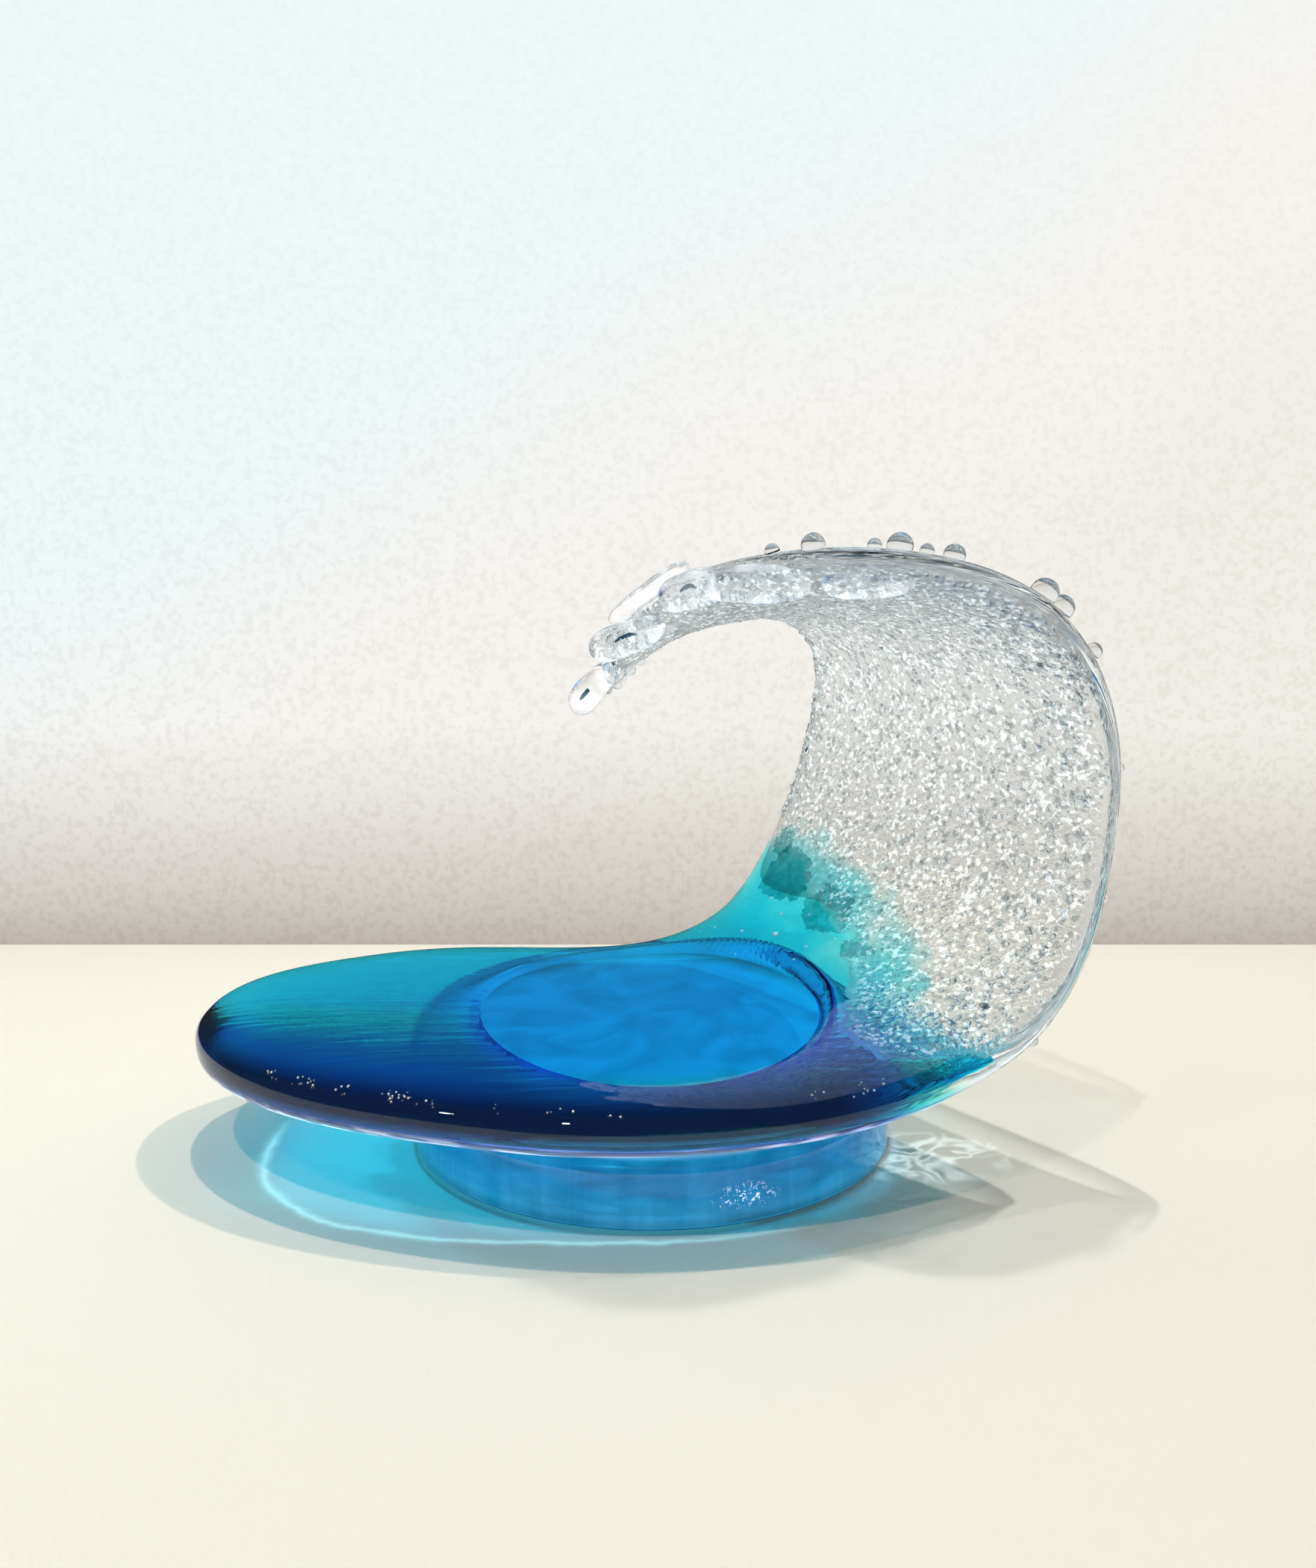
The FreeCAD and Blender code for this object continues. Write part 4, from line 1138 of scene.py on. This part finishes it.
def build_bond():
    """The rim of the clear bond, the only part of it that shows: a ring whose outer side is drawn in
    by the square of the height from its middle, as glue creeps between two faces."""
    low, high, creep, width = FOOT_HEIGHT - 0.00003, SEAT + 0.00003, 0.00012, 0.0006
    middle, half = (low + high) / 2, (high - low) / 2
    profile = [(BOND_RADIUS - creep * (1 - s * s), middle + s * half) for s in np.linspace(-1, 1, 9)]
    profile += [(BOND_RADIUS - width, high), (BOND_RADIUS - width, low)]
    points = turned(profile, 160).transpose(1, 0, 2)
    rows, columns = points.shape[:2]
    quads = grid_faces(rows + 1, columns) % (rows * columns)
    piece = make_piece("bond_rim", points.reshape(-1, 3), [quads], [shared("bond_clear", bond_material)])
    put_in_place(piece, "bond_clear", "foot_bond")


# Mark along the near rim of the blue and number of tiny bright dots round it, painted glints that stand for sparkles
# on the skin.
RIM_GLINT_DOTS = (
    (0.135, 6), (0.160, 14), (0.180, 6), (0.205, 16), (0.222, 8), (0.262, 3),
    (0.292, 4), (0.322, 3), (0.415, 5), (0.432, 6), (0.445, 4),
)
# Along, across and radius of the larger ones in the lower wall.
WALL_BUBBLES = (
    (0.470, 0.33, 0.00112), (0.452, 0.52, 0.00072), (0.438, 0.72, 0.00064), (0.478, 0.10, 0.00056),
    (0.490, 0.45, 0.00064), (0.498, 0.62, 0.00064), (0.462, 0.05, 0.00048), (0.505, 0.30, 0.00072),
    (0.430, 0.30, 0.00040), (0.350, 0.15, 0.00032),
)
LOBE_BUBBLES = 14


def build_bubbles_and_glints():
    """Round dots of 3 rings by 6 points: painted glints just under the skin along the near rim of the blue,
    which stand for sparkles, a few larger seed bubbles in the lower wall, and seeds in the lobes."""
    random = np.random.default_rng(BUBBLE_SEED)
    centres, sizes = [], []
    # painted glints: bright dots just under the skin along the near rim
    for along, count in RIM_GLINT_DOTS:
        alongs = random.normal(along, 0.005, count)
        centres.append(seated(alongs, -random.uniform(0.915, 0.965, count), 1, 0.0003)[0])
        sizes.append(random.uniform(0.00018, 0.00045, count))
    alongs, across, radii = np.array(WALL_BUBBLES).T
    centres.append(seated(alongs, across, 1, 0.002)[0])
    sizes.append(radii)
    for first, last, radius, _, _ in LOBES.values():
        first, last = shares_to_place(first), shares_to_place(last)
        share = random.uniform(0.15, 0.85, LOBE_BUBBLES)[:, None]
        off = unit(random.normal(size=(LOBE_BUBBLES, 3))) * random.uniform(0.2, 0.75, LOBE_BUBBLES)[:, None]
        centres.append(first + (last - first) * share + off * radius)
        sizes.append(random.uniform(0.00012, 0.00026, LOBE_BUBBLES))
    ball = ball_rings([0.6, np.pi / 2, np.pi - 0.6], 6)
    points, faces = many_balls(
        np.vstack(centres)[:, None, None] + ball * np.concatenate(sizes)[:, None, None, None]
    )
    piece = make_piece("bubbles_and_glint_dots", points, faces, [shared("bubble_and_glint", bubble_and_glint_material)])
    put_in_place(piece, "bead_clear")


# ---------------------------------------------------------------- stage

def stage_plane(name, corners, material):
    mesh = bpy.data.meshes.new(name)
    mesh.from_pydata(corners, [], [(0, 1, 2, 3)])
    mesh.materials.append(material)
    item = bpy.data.objects.new(name, mesh)
    bpy.context.scene.collection.objects.link(item)


def mirrored(tree, path):
    """One for rays that come from a reflection. Rays that went through glass count as glossy too."""
    return product(tree, path["Is Glossy Ray"], maths(tree, "SUBTRACT", 1.0, path["Is Transmission Ray"]))


def one_sided(tree, surface, also=None):
    """The surface from the front, and nothing from behind or for the rays named in also."""
    hide = node(tree, "ShaderNodeNewGeometry").outputs["Backfacing"]
    if also is not None:
        hide = maths(tree, "MAXIMUM", hide, also)
    clear = node(tree, "ShaderNodeBsdfTransparent").outputs[0]
    mixed = node(tree, "ShaderNodeMixShader", {0: hide, 1: surface, 2: clear})
    node(tree, "ShaderNodeOutputMaterial", {"Surface": mixed.outputs[0]})


def table_material():
    """A pale table with painted shade that darkens it towards the near right, which glows where the glass
    gathers light: under the foot, and in the lines, pool and ripples beside it. Far away it keeps its own pale colour."""
    colours = bpy.context.scene.glass_wave_colours
    material, tree = new_material("pale_table")
    paler = (*(0.97 * part for part in colours.table), 1.0)
    tone = blend_colours(tree, noise(tree, 3.0, 2.0), (*colours.table, 1.0), paler)
    x, y = axes(tree)[:2]
    # painted shade: darker towards the near right
    slope = maths(tree, "ADD", product(tree, x, -0.45), product(tree, y, 0.35))
    tone = ramp(tree, slope, -0.14, 0.10, (0.74, 0.705, 0.61, 1), tone)
    far = radius_out(tree)
    swirls = span(tree, noise(tree, 34.0, 2.0, Distortion=1.8), 0.35, 0.65, 0.72, 1.05)
    under = product(tree, span(tree, far, FOOT_RADIUS - 0.001, FOOT_RADIUS - 0.014), swirls)
    glow = blend_colours(tree, under, BLACK, (0.80, 0.86, 1.22, 1))
    distant = maths(tree, "POWER", span(tree, far, 0.5, 4.0), 0.6)
    glow = blend_colours(tree, distant, glow, (1.14, 1.10, 0.98, 1))
    outside = span(tree, far, FOOT_RADIUS, FOOT_RADIUS + 0.002)
    lines = group_outputs(tree, "light_lines")
    gathered = {"Inside": (0.0, 0.10, 0.20, 1), "Line": (0.25, 0.62, 0.68, 1), "Ripples": (0.55, 0.64, 0.64, 1)}
    for name, colour in gathered.items():
        glow = blend_colours(tree, product(tree, lines[name], outside), glow, colour, "ADD")
    tooth = product(tree, noise(tree, 900.0, 2.0), 0.00015)
    body = node(tree, "ShaderNodeBsdfPrincipled", {
        "Base Color": tone, "Roughness": 0.75, "Normal": bump(tree, tooth),
        "Emission Color": glow, "Emission Strength": colours.gathered,
    })
    one_sided(tree, body.outputs[0])
    return material


def wall_material():
    """An off-white plastered wall that glows at its own pale colour for the camera and in the glass, with painted
    shade towards the table and in specks, dimmer high up through the glass and nearly black in reflections.
    """
    colours = bpy.context.scene.glass_wave_colours
    material, tree = new_material("pale_wall")
    aside, _, height = axes(tree)
    sweep = maths(tree, "SUBTRACT", height, product(tree, aside, 0.55))
    sweep = maths(tree, "ADD", sweep, product(tree, noise(tree, 5.0, 3.0), 0.16))
    tone = ramp(tree, sweep, 0.14, 0.26, (*colours.wall, 1.0), (0.93, 0.905, 0.865, 1.0))
    tone = ramp(tree, sweep, 0.30, 0.42, tone, (0.865, 0.94, 0.945, 1.0))
    # painted shade: the wall darkens towards the table
    painted_low_shade = maths(tree, "POWER", span(tree, height, 0.0, 0.11), 0.7)
    tone = blend_colours(tree, painted_low_shade, (*colours.wall_foot_shade, 1.0), tone)
    # painted shade of the plaster's bumps: darker specks, stronger low on the wall
    painted_speck_shade = span(tree, noise(tree, 330.0, 2.0, Roughness=0.5), 0.46, 0.66)
    painted_speck_shade = product(tree, painted_speck_shade, span(tree, height, 0.45, 0.05, 0.10, 0.40))
    tone = blend_colours(tree, painted_speck_shade, tone, (0.78, 0.76, 0.74, 1.0), "MULTIPLY")
    path = node(tree, "ShaderNodeLightPath").outputs
    back = mirrored(tree, path)
    high = product(tree, span(tree, height, 0.42, 0.85), path["Is Transmission Ray"])
    dim = blend_colours(tree, high, WHITE, (0.62, 0.63, 0.66, 1))
    dim = blend_colours(tree, back, dim, (0.05, 0.055, 0.06, 1))
    lit = blend_colours(tree, 1.0, tone, dim, "MULTIPLY")
    glow = node(tree, "ShaderNodeEmission", {"Color": lit, "Strength": 1.0}).outputs[0]
    matt = node(tree, "ShaderNodeBsdfDiffuse", {"Color": tone}).outputs[0]
    seen = maths(tree, "MAXIMUM", path["Is Camera Ray"], path["Is Transmission Ray"])
    shown = node(tree, "ShaderNodeMixShader", {0: maths(tree, "MAXIMUM", seen, back), 1: matt, 2: glow})
    one_sided(tree, shown.outputs[0], path["Is Shadow Ray"])
    return material


# Direction from the table, size and share of the power of each lamp.
LAMPS = {
    "right_lamp": ((0.40, 0.22, 1.0), 0.05, 0.38),
    "high_lamp": ((-0.02, 0.14, 1.0), 0.05, 0.37),
    "front_lamp": ((-0.22, -0.50, 1.0), 0.05, 0.21),
    "side_lamp": ((-0.64, -0.53, 1.0), 0.08, 0.05),
}
LAMP_DISTANCE = 2.6
WALL_DISTANCE = 0.235
CAMERA_PLACE, CAMERA_DOWN, CAMERA_FOCUS, PHOTO_HEIGHT = (0.0019, -0.4127, 0.1666), 7.5, 1766, 2100
SENSOR_SIZE = 36


def build_stage():
    """Pale table and wall, a row of small lamps overhead, a pale room and the camera."""
    scene = bpy.context.scene
    lights = scene.glass_wave_lights
    flat = [(-6, -6, -0.0002), (6, -6, -0.0002), (6, 6, -0.0002), (-6, 6, -0.0002)]
    stage_plane("table", flat, table_material())
    far = WALL_DISTANCE
    stage_plane("wall", [(-6, far, -0.001), (6, far, -0.001), (6, far, 4), (-6, far, 4)], wall_material())
    for name, (way, size, share) in LAMPS.items():
        data = bpy.data.lights.new(name, "AREA")
        data.energy = lights.key_power * share
        data.size = size
        lamp = bpy.data.objects.new(name, data)
        lamp.location = Vector(way).normalized() * LAMP_DISTANCE + Vector((0, 0, 0.05))
        lamp.rotation_euler = Vector(way).to_track_quat("Z", "Y").to_euler()
        scene.collection.objects.link(lamp)
    build_room(lights.room_strength)
    data = bpy.data.cameras.new("camera")
    data.sensor_width = SENSOR_SIZE
    data.lens = SENSOR_SIZE * CAMERA_FOCUS / PHOTO_HEIGHT
    data.clip_start, data.clip_end = 0.01, 50
    camera = bpy.data.objects.new("camera", data)
    camera.location = CAMERA_PLACE
    camera.rotation_euler = (math.radians(90 - CAMERA_DOWN), 0, 0)
    scene.collection.objects.link(camera)
    scene.camera = camera
    scene.view_settings.view_transform = "Standard"


def build_room(strength):
    """A pale room all round: brighter to the sides than overhead, and dark low behind the viewer."""
    world = bpy.data.worlds.new("pale_room")
    bpy.context.scene.world = world
    world.use_nodes = True
    tree = world.node_tree
    tree.nodes.clear()
    _, ahead, up = axes(tree, node(tree, "ShaderNodeTexCoord").outputs["Generated"])
    around = ramp(tree, up, 0.1, 0.8, (0.90, 0.91, 0.92, 1), (0.62, 0.63, 0.66, 1))
    low_behind = product(tree, span(tree, ahead, 0.0, -0.55), span(tree, up, 0.85, 0.35))
    around = blend_colours(tree, low_behind, around, (0.08, 0.085, 0.10, 1))
    path = node(tree, "ShaderNodeLightPath").outputs
    around = blend_colours(tree, path["Is Diffuse Ray"], around, (0.10, 0.10, 0.11, 1))
    around = blend_colours(tree, mirrored(tree, path), around, (0.10, 0.11, 0.13, 1))
    lit = node(tree, "ShaderNodeBackground", {"Color": around, "Strength": strength}).outputs[0]
    seen = node(tree, "ShaderNodeBackground", {"Color": (0.91, 0.92, 0.92, 1), "Strength": 1.0}).outputs[0]
    mixed = node(tree, "ShaderNodeMixShader", {0: path["Is Camera Ray"], 1: lit, 2: seen})
    node(tree, "ShaderNodeOutputWorld", {"Surface": mixed.outputs[0]})


# ---------------------------------------------------------------- what a user changes

class GlassWaveShape(bpy.types.PropertyGroup):
    grain_size: bpy.props.FloatProperty(
        name="Grain size", description="Width of a fused grain",
        default=0.0016, min=0.0005, max=0.01, unit="LENGTH",
    )
    grain_height: bpy.props.FloatProperty(
        name="Grain height", description="How far a grain stands out",
        default=0.0011, min=0.0, max=0.005, unit="LENGTH",
    )
    grain_count: bpy.props.IntProperty(
        name="Loose grains", description="Number of grains that stand out of the layer",
        default=2600, min=0, max=8000,
    )
    rings_along_wall: bpy.props.IntProperty(
        name="Rings", description="Rings of points along the wall and crest", default=270, min=40, max=600,
    )
    points_across_wall: bpy.props.IntProperty(
        name="Points", description="Points of a ring on the hollow side", default=168, min=24, max=400,
    )


class GlassWaveColours(bpy.types.PropertyGroup):
    blue_passed: bpy.props.FloatVectorProperty(
        name="Blue", description="Colour that the blue glass lets through best",
        subtype="COLOR", size=3, min=0, max=1, default=(0.0, 0.905, 0.980),
    )
    blue_density: bpy.props.FloatProperty(
        name="Blue density", description="How strongly the blue glass holds back light, for a metre",
        default=230.0, min=0, max=2000,
    )
    foot_passed: bpy.props.FloatVectorProperty(
        name="Foot", description="Colour that the foot lets through best",
        subtype="COLOR", size=3, min=0, max=1, default=(0.0, 0.76, 0.895),
    )
    foot_density: bpy.props.FloatProperty(
        name="Foot density", description="How strongly the foot holds back light, for a metre",
        default=40.0, min=0, max=2000,
    )
    table: bpy.props.FloatVectorProperty(
        name="Table", description="Colour of the table",
        subtype="COLOR", size=3, min=0, max=1, default=(0.84, 0.81, 0.705),
    )
    gathered: bpy.props.FloatProperty(
        name="Gathered light", description="Light that the foot gathers on the table under it",
        default=0.7, min=0, max=2,
    )
    wall: bpy.props.FloatVectorProperty(
        name="Wall", description="Colour of the wall",
        subtype="COLOR", size=3, min=0, max=1, default=(0.88, 0.86, 0.80),
    )
    # painted shade: the colour the wall darkens to where it meets the table
    wall_foot_shade: bpy.props.FloatVectorProperty(
        name="Wall foot", description="Colour of the wall where it meets the table",
        subtype="COLOR", size=3, min=0, max=1, default=(0.50, 0.45, 0.40),
    )


class GlassWaveLights(bpy.types.PropertyGroup):
    key_power: bpy.props.FloatProperty(
        name="Lamps", description="Power of the row of lamps over the table", default=67.0, min=0, unit="POWER",
    )
    room_strength: bpy.props.FloatProperty(
        name="Room", description="Brightness of the room all round", default=0.9, min=0, max=1,
    )


class GLASSWAVE_OT_foot(bpy.types.Operator):
    """Turn the round foot"""

    bl_idname = "glass_wave.foot"
    bl_label = "Foot"

    def execute(self, context):
        build_foot()
        return {"FINISHED"}


class GLASSWAVE_OT_bond(bpy.types.Operator):
    """Draw the rim of the clear bond"""

    bl_idname = "glass_wave.bond"
    bl_label = "Bond"

    def execute(self, context):
        build_bond()
        return {"FINISHED"}


class GLASSWAVE_OT_wave_body(bpy.types.Operator):
    """Skin the clear body of the wave with its grained hollow side"""

    bl_idname = "glass_wave.wave_body"
    bl_label = "Clear body"

    def execute(self, context):
        build_wave_body()
        return {"FINISHED"}


class GLASSWAVE_OT_blue_layer(bpy.types.Operator):
    """Lay the blue glass into the tongue and the lower wall"""

    bl_idname = "glass_wave.blue_layer"
    bl_label = "Blue layer"

    def execute(self, context):
        build_blue_layer()
        return {"FINISHED"}


class GLASSWAVE_OT_flakes(bpy.types.Operator):
    """Seal the teal flakes under the skin"""

    bl_idname = "glass_wave.flakes"
    bl_label = "Teal flakes"

    def execute(self, context):
        build_flakes()
        return {"FINISHED"}


class GLASSWAVE_OT_grains(bpy.types.Operator):
    """Strew the grains that stand out of the fused layer"""

    bl_idname = "glass_wave.grains"
    bl_label = "Loose grains"

    def execute(self, context):
        build_grains()
        return {"FINISHED"}


class GLASSWAVE_OT_lobes(bpy.types.Operator):
    """Pull the lobes, finger, drip and folded lip of the crest"""

    bl_idname = "glass_wave.lobes"
    bl_label = "Lobes"

    def execute(self, context):
        build_lobes()
        return {"FINISHED"}


class GLASSWAVE_OT_threads(bpy.types.Operator):
    """Seal the coloured streaks in the lobes"""

    bl_idname = "glass_wave.threads"
    bl_label = "Coloured streaks"

    def execute(self, context):
        build_threads()
        return {"FINISHED"}


class GLASSWAVE_OT_beads(bpy.types.Operator):
    """Set the round drops on the crest and the rims"""

    bl_idname = "glass_wave.beads"
    bl_label = "Beads"

    def execute(self, context):
        build_beads()
        return {"FINISHED"}


class GLASSWAVE_OT_bubbles_and_glints(bpy.types.Operator):
    """Scatter seed bubbles in the glass, and painted glint dots along the near rim"""

    bl_idname = "glass_wave.bubbles"
    bl_label = "Bubbles"

    def execute(self, context):
        build_bubbles_and_glints()
        return {"FINISHED"}


class GLASSWAVE_OT_stage(bpy.types.Operator):
    """Set the table, wall, lamps, room and camera"""

    bl_idname = "glass_wave.stage"
    bl_label = "Stage"

    def execute(self, context):
        build_stage()
        return {"FINISHED"}


OPERATORS = (
    GLASSWAVE_OT_foot,
    GLASSWAVE_OT_bond,
    GLASSWAVE_OT_wave_body,
    GLASSWAVE_OT_blue_layer,
    GLASSWAVE_OT_flakes,
    GLASSWAVE_OT_grains,
    GLASSWAVE_OT_lobes,
    GLASSWAVE_OT_threads,
    GLASSWAVE_OT_beads,
    GLASSWAVE_OT_bubbles_and_glints,
    GLASSWAVE_OT_stage,
)


class GLASSWAVE_PT_panel(bpy.types.Panel):
    """Sizes, colours and steps of the glass wave"""

    bl_idname = "GLASSWAVE_PT_panel"
    bl_label = "Glass wave"
    bl_space_type = "VIEW_3D"
    bl_region_type = "UI"
    bl_category = "Glass wave"

    def draw(self, context):
        layout = self.layout
        scene = context.scene
        for group in (scene.glass_wave_shape, scene.glass_wave_colours, scene.glass_wave_lights):
            box = layout.box()
            for name in group.__annotations__:
                box.prop(group, name)
        for kind in OPERATORS:
            layout.operator(kind.bl_idname)


CLASSES = (GlassWaveShape, GlassWaveColours, GlassWaveLights, *OPERATORS, GLASSWAVE_PT_panel)


def register():
    for kind in CLASSES:
        bpy.utils.register_class(kind)
    bpy.types.Scene.glass_wave_shape = bpy.props.PointerProperty(type=GlassWaveShape)
    bpy.types.Scene.glass_wave_colours = bpy.props.PointerProperty(type=GlassWaveColours)
    bpy.types.Scene.glass_wave_lights = bpy.props.PointerProperty(type=GlassWaveLights)


def unregister():
    del bpy.types.Scene.glass_wave_lights
    del bpy.types.Scene.glass_wave_colours
    del bpy.types.Scene.glass_wave_shape
    for kind in reversed(CLASSES):
        bpy.utils.unregister_class(kind)


def main():
    register()
    for kind in OPERATORS:
        area, name = kind.bl_idname.split(".")
        getattr(getattr(bpy.ops, area), name)()


if __name__ == "__main__":
    main()
